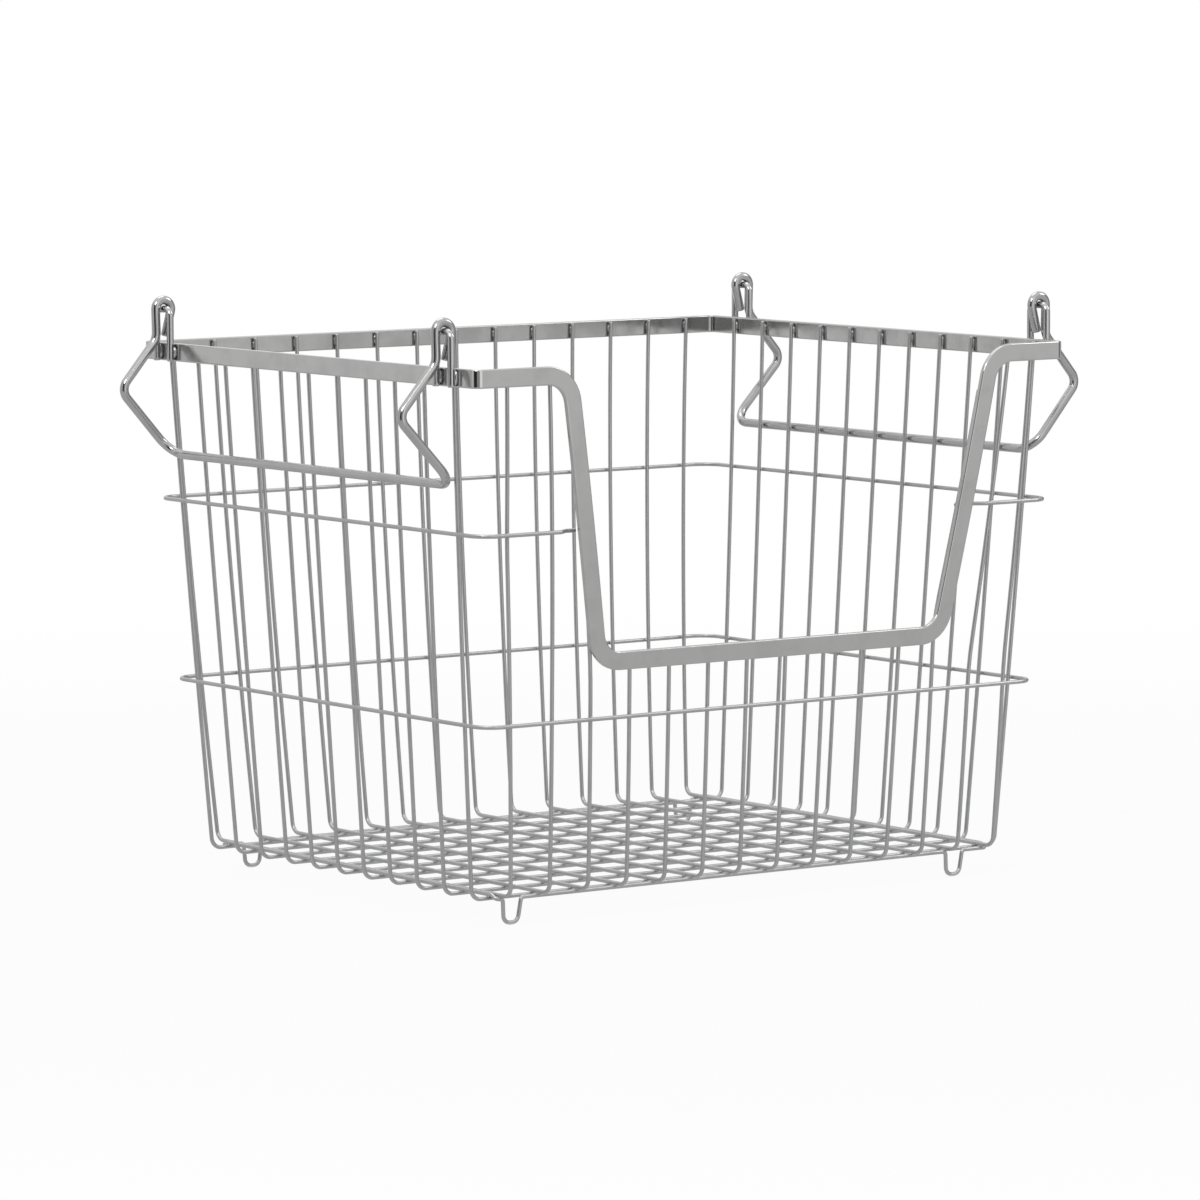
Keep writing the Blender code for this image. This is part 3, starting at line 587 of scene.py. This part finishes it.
def legs_beside_scoop():
    """The front legs beside the scoop, in two lists from the outside in: (x, z) of top and bend."""
    left = [((OUTER_LEFT_TOP_MARGIN - TOP_HALF_LENGTH, WIRE_TOP_Z),
             (OUTER_LEFT_BEND_MARGIN - TOP_HALF_LENGTH, RIM_TOP - OUTER_LEFT_BEND_DROP)),
            ((scoop_side_x(-1, BAR_MIDDLE_Z) - SHOULDER_LEFT_TOP_SETBACK, WIRE_TOP_Z),
             (-SCOOP_BOTTOM_HALF - SHOULDER_LEFT_BEND_OUT, RIM_TOP - SHOULDER_LEFT_BEND_DROP)),
            ((scoop_side_x(-1, LEANING_WIRE_TOP_Z) + LEANING_LEFT_TOP_INSET, LEANING_WIRE_TOP_Z),
             (-SCOOP_BOTTOM_HALF - LEANING_LEFT_BEND_OUT, RIM_TOP - LEANING_LEFT_BEND_DROP))]
    right = [((TOP_HALF_LENGTH - OUTER_RIGHT_TOP_MARGIN, WIRE_TOP_Z),
              (TOP_HALF_LENGTH - OUTER_RIGHT_BEND_MARGIN, RIM_TOP - OUTER_RIGHT_BEND_DROP)),
             ((scoop_side_x(1, BAR_MIDDLE_Z) + SHOULDER_RIGHT_TOP_SETBACK, WIRE_TOP_Z),
              (SCOOP_BOTTOM_HALF + SHOULDER_RIGHT_BEND_OUT, RIM_TOP - SHOULDER_RIGHT_BEND_DROP)),
             ((scoop_side_x(1, LEANING_WIRE_TOP_Z) - LEANING_RIGHT_TOP_INSET, LEANING_WIRE_TOP_Z),
              (SCOOP_BOTTOM_HALF + LEANING_RIGHT_BEND_OUT, RIM_TOP - LEANING_RIGHT_BEND_DROP))]
    return left, right


def leg_beside_scoop(index):
    """The top and the bend of a front leg beside the scoop, or None for a low wire under it."""
    left, right = legs_beside_scoop()
    from_right = FRONT_REAR_WIRES - 1 - index
    if index < len(left):
        return left[index]
    return right[from_right] if from_right < len(right) else None


def front_wire_x(index, z):
    """Where a front-rear wire's front leg stands at a height: straight to its bend, then to the floor.

    The bend is eased: beside it, the place is a parabola that touches both straight lines.
    """
    leg = leg_beside_scoop(index)
    if leg is None:
        return front_rear_fan(index, z, LOW_LEFT_TOP_MARGIN, LOW_RIGHT_TOP_MARGIN)
    (top_x, top_z), (bend_x, bend_z) = leg
    floor_x = front_rear_fan(index, UPPER_FLOOR_Z)
    above = (top_x - bend_x) / (top_z - bend_z)
    below = (bend_x - floor_x) / (bend_z - UPPER_FLOOR_Z)
    rise = z - bend_z
    eased = max(0.0, LEG_BEND_SPAN - abs(rise)) ** 2 / (4 * LEG_BEND_SPAN)
    return bend_x + rise * (above if rise > 0 else below) + (above - below) * eased


def front_wire_top(index):
    """How high a front leg reaches."""
    leg = leg_beside_scoop(index)
    return LOW_WIRE_TOP_Z if leg is None else leg[0][1]


def make_front_rear_wires():
    """The wires that run down the front wall, along the floor and up the rear wall."""
    for index in range(FRONT_REAR_WIRES):
        front = [(front_wire_x(index, z), -long_wall_y(z), z)
                 for z in wall_heights(front_wire_top(index), UPPER_FLOOR_Z)]
        rear_heights = wall_heights(WIRE_TOP_Z, UPPER_FLOOR_Z)
        rear = [(front_rear_fan(index, z), long_wall_y(z), z) for z in rear_heights]
        wire(f"front_rear_wire_{index + 1:02d}", u_wire_path(front, rear), ALONG)


def make_left_right_wires():
    """The wires that run down the left wall, along the floor and up the right wall."""
    for index in range(LEFT_RIGHT_WIRES):
        left, right = [[(side * end_wall_x(z), left_right_fan(side, index, z), z)
                        for z in wall_heights(WIRE_TOP_Z, LOWER_FLOOR_Z)] for side in (-1, 1)]
        wire(f"left_right_wire_{index + 1:02d}", u_wire_path(left, right), ACROSS)


# Rings

def ring_corners(z):
    """The four corners of a ring that lies outside the wall wires at a height, front right first."""
    half_length = end_wall_x(z) + RING_TO_WIRE
    half_depth = long_wall_y(z) + RING_TO_WIRE
    return [(half_length, -half_depth, z), (half_length, half_depth, z),
            (-half_length, half_depth, z), (-half_length, -half_depth, z)]


def make_lower_ring():
    """The closed ring round the walls, below the scoop."""
    path = rounded_path(ring_corners(LOWER_RING_Z), [RING_CORNER_RADIUS] * 4, True)
    wire("lower_ring", path, UP, closed=True)


def ring_hook(side):
    """The upper ring's free end on a side: it slants in beside the scoop and ends behind a wire."""
    outside = long_wall_y(UPPER_RING_Z) + RING_TO_WIRE
    inside = long_wall_y(UPPER_RING_Z) - RING_TO_WIRE
    inner_x = scoop_side_x(side, UPPER_RING_Z) + side * (BAR_HEIGHT / 2 + RING_HOOK_CLEARANCE)
    places = [(inner_x - side * RING_HOOK_LENGTH, -inside), (inner_x, -inside),
              (inner_x + side * RING_HOOK_SLANT, -outside)]
    return [(x, y, UPPER_RING_Z) for x, y in places]


def make_upper_ring():
    """The ring round three walls, open at the scoop."""
    corners = ring_hook(1) + ring_corners(UPPER_RING_Z) + ring_hook(-1)[::-1]
    hook_radii = [0, RING_HOOK_RADIUS, RING_HOOK_RADIUS]
    radii = hook_radii + [RING_CORNER_RADIUS] * 4 + hook_radii[::-1]
    wire("upper_ring", rounded_path(corners, radii), UP)


def base_corner(side_x, side_y, foot_setback, lean=0):
    """The base ring's corner and the foot beside it, from the short side to the long side.

    The short side lies on the left-right wires and steps down at its end, because the
    long side lies under the front-rear wires.
    """
    y = BASE_HALF_DEPTH
    foot_x = BASE_HALF_LENGTH - foot_setback
    bottom_x = foot_x + side_x * lean
    places = [(BASE_HALF_LENGTH, y - BASE_STEP_LENGTH, UPPER_FLOOR_Z),
              (BASE_HALF_LENGTH, y, LOWER_FLOOR_Z),
              (foot_x + FOOT_TOP_WIDTH / 2, y, LOWER_FLOOR_Z),
              (bottom_x + FOOT_BOTTOM_WIDTH / 2, y, FOOT_Z),
              (bottom_x - FOOT_BOTTOM_WIDTH / 2, y, FOOT_Z),
              (foot_x - FOOT_TOP_WIDTH / 2, y, LOWER_FLOOR_Z)]
    return [(side_x * x, side_y * y, z) for x, y, z in places]


def make_base_ring():
    """The ring under the floor, bent down into a foot beside each corner."""
    right_rear = base_corner(1, 1, REAR_RIGHT_FOOT_SETBACK)
    left_rear = base_corner(-1, 1, REAR_LEFT_FOOT_SETBACK)
    left_front = base_corner(-1, -1, FRONT_LEFT_FOOT_SETBACK, FRONT_FOOT_LEAN)
    right_front = base_corner(1, -1, FRONT_RIGHT_FOOT_SETBACK, FRONT_FOOT_LEAN)
    corners = right_rear + left_rear[::-1] + left_front + right_front[::-1]
    radii = [BASE_STEP_RADIUS, BASE_CORNER_RADIUS, FOOT_TOP_RADIUS]
    radii += [FOOT_BOTTOM_RADIUS, FOOT_BOTTOM_RADIUS, FOOT_TOP_RADIUS]
    radii = (radii + radii[::-1]) * 2
    wire("base_ring", rounded_path(corners, radii, closed=True), UP, closed=True)


# Staples and handles

def make_staple(node, side_x, side_y):
    """An upside-down U on the rim's outer face: its top is the pin that a handle turns on."""
    middle = side_y * STAPLE_HALF_SPREAD
    near = middle - STAPLE_LEG_SPACING / 2
    far = middle + STAPLE_LEG_SPACING / 2
    x = side_x * STAPLE_X
    foot = RIM_TOP - BAR_HEIGHT
    corners = [(x, near, foot), (x, near, HINGE_Z), (x, far, HINGE_Z), (x, far, foot)]
    path = rounded_path(corners, [0, STAPLE_BEND_RADIUS, STAPLE_BEND_RADIUS, 0])
    wire(node, path, ALONG, STAPLE_RADIUS, sides=HANDLE_SIDES, finish="staple_wire")


def tangent_angle(out, rise, side):
    """Where a straight line from a point touches the hook's circle round the hinge, as an angle."""
    reach = math.hypot(out, rise)
    return math.atan2(rise, out) + side * math.acos(HOOK_RADIUS / reach)


def hook_path():
    """One end of a handle as (out, up) from the hinge: free end, over the staple, down to the neck."""
    start = tangent_angle(HOOK_END_OUT, -HOOK_END_DROP, -1) + 2 * math.pi
    end = tangent_angle(HOOK_NECK_OUT, -HOOK_NECK_DROP, 1)
    steps = math.ceil((start - end) / ARC_STEP)
    over = [(HOOK_RADIUS * math.cos(angle), HOOK_RADIUS * math.sin(angle))
            for angle in np.linspace(start, end, steps + 1)]
    return [(HOOK_END_OUT, -HOOK_END_DROP)] + over


def make_handle(node, side):
    """A bail: hooks round two staples, arms out to the knees, and a grip bar resting on the wall."""
    hinge_x = side * STAPLE_X
    grip_z = HINGE_Z - GRIP_DROP
    grip_x = side * (end_wall_x(grip_z) + WIRE_REACH + SEAT_GAP + HANDLE_REACH)
    end = [(hinge_x + side * out, STAPLE_HALF_SPREAD, HINGE_Z + rise) for out, rise in hook_path()]
    end.append((hinge_x + side * HOOK_NECK_OUT, STAPLE_HALF_SPREAD, HINGE_Z - HOOK_NECK_DROP))
    end.append((hinge_x + side * KNEE_OUT, STAPLE_HALF_SPREAD - KNEE_INSET, HINGE_Z - KNEE_DROP))
    end.append((grip_x, STAPLE_HALF_SPREAD + GRIP_OUTSET, grip_z))
    corners = end + [(x, -y, z) for x, y, z in reversed(end)]
    radii = [0] * (len(end) - 3) + [NECK_RADIUS, KNEE_RADIUS, GRIP_CORNER_RADIUS]
    path = rounded_path(corners, radii + radii[::-1])
    wire(node, path, ACROSS, HANDLE_RADIUS, carried=True, sides=HANDLE_SIDES,
         finish="handle_wire", body=node)


# Weld nuggets

def nugget_ball():
    """A unit ball of few faces: its rows are circles of radius sine of the row's turn, with poles."""
    turns = np.arange(NUGGET_TURNS) * 2 * math.pi / NUGGET_TURNS
    rows = np.arange(1, NUGGET_ROWS) * math.pi / NUGGET_ROWS
    circles = np.stack((np.sin(rows)[:, None] * np.cos(turns), np.sin(rows)[:, None] * np.sin(turns),
                        np.broadcast_to(np.cos(rows)[:, None], (len(rows), NUGGET_TURNS))), axis=-1)
    points = np.concatenate((UP[None], circles.reshape(-1, 3), -UP[None]))
    index = 1 + np.arange(len(rows) * NUGGET_TURNS).reshape(len(rows), NUGGET_TURNS)
    following = np.roll(index, -1, axis=1)
    quads = np.stack((index[:-1], index[1:], following[1:], following[:-1]), axis=-1)
    faces = quads.reshape(-1, 4).tolist()
    last = len(points) - 1
    faces += [[0, a, b] for a, b in zip(index[0], following[0])]
    faces += [[last, b, a] for a, b in zip(index[-1], following[-1])]
    return points, faces


def make_nuggets(name, places, sizes):
    """One piece of weld nuggets: a ball at each place, stretched along two directions and their cross.

    places is a list of (centre, first direction, second direction); each ball varies a little.
    """
    ball, ball_faces = nugget_ball()
    random = np.random.default_rng(NUGGET_SEED)
    centres = np.array([place[0] for place in places])
    first = unit(np.array([place[1] for place in places], float))
    second = unit(np.array([place[2] for place in places], float))
    through = np.cross(first, second)
    spread = 1 + NUGGET_UNEVENNESS_SHARE * (2 * random.random((len(places), 3)) - 1)
    scale = np.array(sizes) * spread
    axes = np.stack((first, second, through), axis=1) * scale[..., None]
    points = centres[:, None] + np.einsum("vk,nkd->nvd", ball, axes)
    faces = [[corner + len(ball) * number for corner in face]
             for number in range(len(places)) for face in ball_faces]
    mesh = bpy.data.meshes.new(name)
    mesh.from_pydata(points.reshape(-1, 3).tolist(), [], faces)
    piece = finished(name, mesh, MATERIALS["weld"])
    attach(piece, "basket")
    return piece


def floor_crossings():
    """Where the two layers of wires cross at the floor."""
    z = (UPPER_FLOOR_Z + LOWER_FLOOR_Z) / 2
    columns = [front_rear_fan(column, UPPER_FLOOR_Z) for column in range(FRONT_REAR_WIRES)]
    rows = [left_right_fan(1, row, LOWER_FLOOR_Z) for row in range(LEFT_RIGHT_WIRES)]
    return [((x, y, z), ALONG, ACROSS) for x in columns for y in rows]


def ring_crossings(z, front_wires):
    """Where a ring at a height crosses the wall wires, on the front only at the wires given."""
    x = end_wall_x(z) + RING_TO_WIRE / 2
    y = long_wall_y(z) + RING_TO_WIRE / 2
    found = [((front_rear_fan(index, z), y, z), ALONG, UP) for index in range(FRONT_REAR_WIRES)]
    found += [((front_wire_x(index, z), -y, z), ALONG, UP) for index in front_wires]
    for side in (-1, 1):
        found += [((side * x, left_right_fan(side, index, z), z), ACROSS, UP)
                  for index in range(LEFT_RIGHT_WIRES)]
    return found


def upper_ring_crossings():
    """Those of the upper ring, whose ends are welded behind the leaning wires."""
    left, right = legs_beside_scoop()
    beside = list(range(len(left) - 1))
    beside += range(FRONT_REAR_WIRES - len(right) + 1, FRONT_REAR_WIRES)
    found = ring_crossings(UPPER_RING_Z, beside)
    inside = long_wall_y(UPPER_RING_Z) - RING_TO_WIRE / 2
    for index in LEANING_WIRES:
        found.append(((front_wire_x(index, UPPER_RING_Z), -inside, UPPER_RING_Z), ALONG, UP))
    return found


def base_ring_crossings():
    """Where the base ring lies under the front-rear wires and on the left-right wires."""
    z = (UPPER_FLOOR_Z + LOWER_FLOOR_Z) / 2
    feet = {(1, 1): REAR_RIGHT_FOOT_SETBACK, (-1, 1): REAR_LEFT_FOOT_SETBACK,
            (-1, -1): FRONT_LEFT_FOOT_SETBACK, (1, -1): FRONT_RIGHT_FOOT_SETBACK}
    found = []
    for (side_x, side_y), setback in feet.items():
        foot_x = side_x * (BASE_HALF_LENGTH - setback)
        for index in range(FRONT_REAR_WIRES):
            x = front_rear_fan(index, UPPER_FLOOR_Z)
            if x * side_x > 0 and abs(x - foot_x) > FOOT_TOP_WIDTH / 2:
                found.append(((x, side_y * BASE_HALF_DEPTH, z), ALONG, ACROSS))
    for side in (-1, 1):
        rows = [left_right_fan(side, index, LOWER_FLOOR_Z) for index in range(LEFT_RIGHT_WIRES)]
        found += [((side * BASE_HALF_LENGTH, y, z), ALONG, ACROSS) for y in rows]
    return found


def bar_seats():
    """Where the wires' tops lie against the rim bar's inner face."""
    beside = WIRE_RADIUS + SEAT_GAP / 2
    x = end_wall_x(BAR_MIDDLE_Z) + beside
    y = long_wall_y(BAR_MIDDLE_Z) + beside
    found = [((front_rear_fan(index, BAR_MIDDLE_Z), y, BAR_MIDDLE_Z), UP, ALONG)
             for index in range(FRONT_REAR_WIRES)]
    for side in (-1, 1):
        found += [((side * x, left_right_fan(side, index, BAR_MIDDLE_Z), BAR_MIDDLE_Z), UP, ACROSS)
                  for index in range(LEFT_RIGHT_WIRES)]
    for index in range(FRONT_REAR_WIRES):
        if index in LEANING_WIRES:
            continue
        z = SCOOP_Z if leg_beside_scoop(index) is None else BAR_MIDDLE_Z
        found.append(((front_wire_x(index, z), -long_wall_y(z) - beside, z), UP, ALONG))
    return found + leaning_wire_seats(beside)


def leaning_wire_seats(beside):
    """Spots along each leaning wire that hold it to the scoop's slanted bar."""
    found = []
    for index in LEANING_WIRES:
        low = SCOOP_Z + SCOOP_BOTTOM_RADIUS
        count = math.ceil((LEANING_WIRE_TOP_Z - low) / LEANING_WIRE_NUGGET_PITCH)
        for z in np.linspace(low, LEANING_WIRE_TOP_Z - BAR_HEIGHT / 2, count):
            step = (front_wire_x(index, z + WIRE_RADIUS) - front_wire_x(index, z)) / WIRE_RADIUS
            place = (front_wire_x(index, z), -long_wall_y(z) - beside, z)
            found.append((place, (step, 0, 1), ALONG))
    return found


def staple_seats():
    """Where the staples' legs lie on the rim bar's outer face."""
    x = STAPLE_X - STAPLE_RADIUS - SEAT_GAP / 2
    legs = [side_y * STAPLE_HALF_SPREAD + leg * STAPLE_LEG_SPACING / 2
            for side_y in (-1, 1) for leg in (-1, 1)]
    return [((side_x * x, y, BAR_MIDDLE_Z), UP, ACROSS) for side_x in (-1, 1) for y in legs]


# Materials

class Value:
    """A shader socket in Python expressions: each operator adds a Math node."""

    def __init__(self, graph, socket):
        self.graph = graph
        self.socket = socket

    def maths(self, operation, first, second):
        """The result of one Math node."""
        return self.graph.add("Math", {"operation": operation}, {0: first, 1: second})

    def __add__(self, other):
        return self.maths("ADD", self, other)

    def __radd__(self, other):
        return self.maths("ADD", other, self)

    def __sub__(self, other):
        return self.maths("SUBTRACT", self, other)

    def __rsub__(self, other):
        return self.maths("SUBTRACT", other, self)

    def __mul__(self, other):
        return self.maths("MULTIPLY", self, other)

    def __rmul__(self, other):
        return self.maths("MULTIPLY", other, self)


class Graph:
    """The nodes of a material or of the world: add() makes any node and returns its output."""

    def __init__(self, owner):
        owner.use_nodes = True
        self.tree = owner.node_tree
        self.tree.nodes.clear()

    def add(self, kind, settings=None, inputs=None, output=0):
        """A node of a kind with its settings made first, then the values or links of its sockets."""
        node = self.tree.nodes.new("ShaderNode" + kind)
        for key, value in (settings or {}).items():
            setattr(node, key, value)
        for key, value in (inputs or {}).items():
            if isinstance(value, Value):
                self.tree.links.new(value.socket, node.inputs[key])
            else:
                node.inputs[key].default_value = value
        return Value(self, node.outputs[output]) if len(node.outputs) else None

    def noise(self, place, scale, detail, grain_share=PLAIN_GRAIN_SHARE):
        """Cloudy values from 0 to 1."""
        inputs = {"Vector": place, "Scale": scale, "Detail": detail, "Roughness": grain_share}
        return self.add("TexNoise", None, inputs)

    def between(self, value, low, high):
        """0 where the value is low or less, 1 where it's high or more, smooth between."""
        inputs = {"Value": value, "From Min": low, "From Max": high}
        return self.add("MapRange", {"interpolation_type": "SMOOTHSTEP"}, inputs)

    def mixed(self, factor, first, second):
        """One colour turning into another."""
        inputs = {"Factor": factor, FIRST_COLOUR: first, SECOND_COLOUR: second}
        return self.add("Mix", {"data_type": "RGBA"}, inputs, MIXED_COLOUR)


def plating(name, colour, roughness, drawn_line_share):
    """Bright chrome on steel: drawn lines along the wire, ripples under it, smudges and pits."""
    material = bpy.data.materials.new(name)
    graph = Graph(material)
    place = graph.add("TexCoord", output=OBJECT_PLACE)
    along = graph.add("UVMap", {"uv_map": "metres"})
    stretched = graph.add("Mapping", None, {"Vector": along, "Scale": LINE_SCALE})
    lines = graph.noise(stretched, 1.0, LINE_DETAIL)
    ripples = graph.noise(place, RIPPLE_SCALE, RIPPLE_DETAIL)
    clouds = graph.noise(place, SMUDGE_SCALE, SMUDGE_DETAIL, SMUDGE_GRAIN_SHARE)
    smudges = graph.between(clouds, *SMUDGE_EDGES)
    pits = graph.between(graph.noise(place, PIT_SCALE, PIT_DETAIL), *PIT_EDGES)
    dark = (*(share * PIT_AND_HOLLOW_SHADE_SHARE for share in colour), 1)
    hazy = (*(share * HAZE_COLOUR_SHARE for share in colour), 1)
    shade = graph.mixed(smudges, (*colour, 1), hazy)
    shade = graph.mixed(pits, shade, dark)
    rough = roughness + smudges * HAZE_ROUGHNESS + lines * (drawn_line_share * HAZE_ROUGHNESS)
    height = ripples * RIPPLE_DEPTH + lines * (drawn_line_share * LINE_DEPTH) - pits * PIT_DEPTH
    normal = graph.add("Bump", None, {"Strength": 1.0, "Distance": 1.0, "Height": height})
    surface = graph.add("BsdfPrincipled", None, {
        "Base Color": shade, "Metallic": 1.0, "Roughness": rough, "Normal": normal})
    graph.add("OutputMaterial", None, {"Surface": surface})
    material.diffuse_color = (*colour, 1)
    return material


def weld_metal(name, colour, roughness):
    """Plating over a weld nugget: duller, lumpy, and darker in its hollows with painted shade."""
    material = bpy.data.materials.new(name)
    graph = Graph(material)
    place = graph.add("TexCoord", output=OBJECT_PLACE)
    lumps = graph.noise(place, LUMP_SCALE, LUMP_DETAIL)
    # Painted shade: the low spots of the lumps are darkened, as if shade fell in them
    painted_hollow_shade = graph.between(lumps, *HOLLOW_SHADE_EDGES)
    dark = (*(share * PIT_AND_HOLLOW_SHADE_SHARE for share in colour), 1)
    shade = graph.mixed(painted_hollow_shade, (*colour, 1), dark)
    rough = roughness + painted_hollow_shade * HAZE_ROUGHNESS
    normal = graph.add("Bump", None, {"Strength": 1.0, "Distance": 1.0, "Height": lumps * LUMP_DEPTH})
    surface = graph.add("BsdfPrincipled", None, {
        "Base Color": shade, "Metallic": 1.0, "Roughness": rough, "Normal": normal})
    graph.add("OutputMaterial", None, {"Surface": surface})
    material.diffuse_color = (*colour, 1)
    return material


def make_materials():
    """Every finish of the basket, by the slot that it belongs to."""
    return {"rim_bar": plating("rim_plating", *BAR_PLATING),
            "basket_wire": plating("wire_plating", *WIRE_PLATING),
            "staple_wire": plating("staple_plating", *STAPLE_PLATING),
            "handle_wire": plating("handle_plating", *HANDLE_PLATING),
            "weld": weld_metal("weld_plating", WELD_COLOUR, WELD_ROUGHNESS)}


# Studio

def add_camera():
    """The camera at the photograph's angle."""
    forward = np.array((math.cos(CAMERA_PITCH) * math.sin(CAMERA_YAW),
                        math.cos(CAMERA_PITCH) * math.cos(CAMERA_YAW), -math.sin(CAMERA_PITCH)))
    level = np.array((math.cos(CAMERA_YAW), -math.sin(CAMERA_YAW), 0.0))
    upright = np.cross(level, forward)
    right = math.cos(CAMERA_ROLL) * level + math.sin(CAMERA_ROLL) * upright
    up = -math.sin(CAMERA_ROLL) * level + math.cos(CAMERA_ROLL) * upright
    lens = bpy.data.cameras.new("camera")
    lens.sensor_width = SENSOR_MILLIMETRES
    lens.lens = SENSOR_MILLIMETRES * CAMERA_LENS_TO_FRAME
    lens.clip_end = CAMERA_REACH
    camera = bpy.data.objects.new("camera", lens)
    matrix = np.eye(4)
    matrix[:3, 0] = right
    matrix[:3, 1] = up
    matrix[:3, 2] = -forward
    matrix[:3, 3] = CAMERA_PLACE
    camera.matrix_world = Matrix(matrix.tolist())
    bpy.context.scene.collection.objects.link(camera)
    bpy.context.scene.camera = camera


def seen_directly(graph):
    """1 for what the camera sees directly, mirrored or through glass, and 0 for the light on things."""
    path = graph.tree.nodes.new("ShaderNodeLightPath")
    camera = Value(graph, path.outputs["Is Camera Ray"])
    glossy = Value(graph, path.outputs["Is Glossy Ray"])
    transmission = Value(graph, path.outputs["Is Transmission Ray"])
    return graph.add("Clamp", None, {"Value": camera + glossy + transmission})


def add_world():
    """An even studio: white where it's seen, and soft grey light elsewhere."""
    world = bpy.data.worlds.new("studio")
    bpy.context.scene.world = world
    graph = Graph(world)
    strength = WORLD_LIGHT + seen_directly(graph) * (1 - WORLD_LIGHT)
    shade = graph.add("Background", None, {"Color": (1, 1, 1, 1), "Strength": strength})
    graph.add("OutputWorld", None, {"Surface": shade})


def circle(radius, z):
    """Points round the middle at a height."""
    turns = np.arange(CIRCLE_SIDES) * 2 * math.pi / CIRCLE_SIDES
    return [(radius * math.cos(turn), radius * math.sin(turn), z) for turn in turns]


def stage_object(name, points, faces, material):
    """A piece of the studio, which isn't part of the basket."""
    mesh = bpy.data.meshes.new(name)
    mesh.from_pydata(points, [], faces)
    mesh.materials.append(material)
    made = bpy.data.objects.new(name, mesh)
    bpy.context.scene.collection.objects.link(made)
    return made


def add_floor():
    """A pale round floor that keeps the shadow and fades to white away from the basket."""
    material = bpy.data.materials.new("pale_floor")
    graph = Graph(material)
    place = graph.add("TexCoord", output=OBJECT_PLACE)
    distance = graph.add("VectorMath", {"operation": "LENGTH"}, {0: place}, VECTOR_MEASURE)
    fade = graph.between(distance, FLOOR_FADE_START, FLOOR_FADE_END)
    share = (FLOOR_WHITE_SHARE + fade * (1 - FLOOR_WHITE_SHARE)) * seen_directly(graph)
    matt = graph.add("BsdfDiffuse", None, {"Color": (*FLOOR_COLOUR, 1)})
    white = graph.add("Emission", None, {"Color": (1, 1, 1, 1), "Strength": 1.0})
    mixed = graph.add("MixShader", None, {0: share, 1: matt, 2: white})
    graph.add("OutputMaterial", None, {"Surface": mixed})
    stage_object("pale_floor", circle(FLOOR_RADIUS, 0.0), [list(range(CIRCLE_SIDES))], material)


def add_reflector():
    """The bowl of card: a ring on the floor and a wall, with each panel's brightness in its place.

    Close to the basket the panels fade out and the plain grey takes over.
    """
    material = bpy.data.materials.new("reflector_card")
    graph = Graph(material)
    place = graph.add("TexCoord", output=OBJECT_PLACE)
    level = graph.add("VectorMath", {"operation": "MULTIPLY"}, {0: place, 1: (1.0, 1.0, 0.0)})
    distance = graph.add("VectorMath", {"operation": "LENGTH"}, {0: level}, VECTOR_MEASURE)
    compass = graph.add("VectorMath", {"operation": "NORMALIZE"}, {0: level})
    farness = graph.between(distance, REFLECTOR_NEAR, REFLECTOR_RADIUS)
    shown = graph.between(distance, PANEL_FADE_START, PANEL_FADE_END)
    brightness = REFLECTOR_NEAR_GREY + farness * (REFLECTOR_FAR_GREY - REFLECTOR_NEAR_GREY)
    for turn, half, shine in REFLECTOR_PANELS:
        towards = (math.cos(turn), math.sin(turn), 0.0)
        nearness = graph.add("VectorMath", {"operation": "DOT_PRODUCT"}, {0: compass, 1: towards},
                             VECTOR_MEASURE)
        edge = (math.cos(half + PANEL_SOFTNESS), math.cos(half - PANEL_SOFTNESS))
        mask = graph.between(nearness, *edge)
        brightness = brightness + mask * shown * (shine - brightness)
    glow = graph.add("Emission", None, {"Color": (1, 1, 1, 1), "Strength": brightness})
    graph.add("OutputMaterial", None, {"Surface": glow})
    points = circle(REFLECTOR_NEAR, REFLECTOR_LIFT) + circle(REFLECTOR_RADIUS, REFLECTOR_LIFT)
    points += circle(REFLECTOR_RADIUS, REFLECTOR_TOP)
    faces = []
    for row in (0, CIRCLE_SIDES):
        for number in range(CIRCLE_SIDES):
            following = (number + 1) % CIRCLE_SIDES
            faces.append([row + number, row + following, row + CIRCLE_SIDES + following,
                          row + CIRCLE_SIDES + number])
    card = stage_object("reflector_card", points, faces, material)
    card.visible_camera = False
    card.visible_diffuse = False
    card.visible_shadow = False


def add_lamp(name, place, size, power):
    """A square soft lamp aimed at the middle of the basket."""
    data = bpy.data.lights.new(name, "AREA")
    data.size = size
    data.energy = power
    lamp = bpy.data.objects.new(name, data)
    lamp.location = place
    aim = np.array((0.0, 0.0, RIM_TOP / 2)) - np.array(place)
    from_front = math.atan2(aim[0], -aim[1])
    lamp.rotation_euler = (math.atan2(math.hypot(aim[0], aim[1]), -aim[2]), 0.0, from_front + math.pi)
    bpy.context.scene.collection.objects.link(lamp)


def add_studio():
    """Camera, floor, white surroundings, reflector and three soft lamps."""
    add_camera()
    add_world()
    add_floor()
    add_reflector()
    add_lamp("key_lamp", *KEY_LAMP)
    add_lamp("fill_lamp", *FILL_LAMP)
    add_lamp("top_lamp", *TOP_LAMP)
    bpy.context.scene.view_settings.view_transform = "Standard"


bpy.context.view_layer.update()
MATERIALS = make_materials()
make_rim()
make_front_rear_wires()
make_left_right_wires()
make_upper_ring()
make_lower_ring()
make_base_ring()
make_staple("staple_left_front", -1, -1)
make_staple("staple_left_rear", -1, 1)
make_staple("staple_right_front", 1, -1)
make_staple("staple_right_rear", 1, 1)
make_handle("left_handle", -1)
make_handle("right_handle", 1)
make_nuggets("floor_welds", floor_crossings(), CROSSING_NUGGET)
make_nuggets("upper_ring_welds", upper_ring_crossings(), CROSSING_NUGGET)
lower_crossings = ring_crossings(LOWER_RING_Z, range(FRONT_REAR_WIRES))
make_nuggets("lower_ring_welds", lower_crossings, CROSSING_NUGGET)
make_nuggets("base_ring_welds", base_ring_crossings(), CROSSING_NUGGET)
make_nuggets("rim_welds", bar_seats(), BAR_NUGGET)
make_nuggets("staple_welds", staple_seats(), STAPLE_NUGGET)
add_studio()
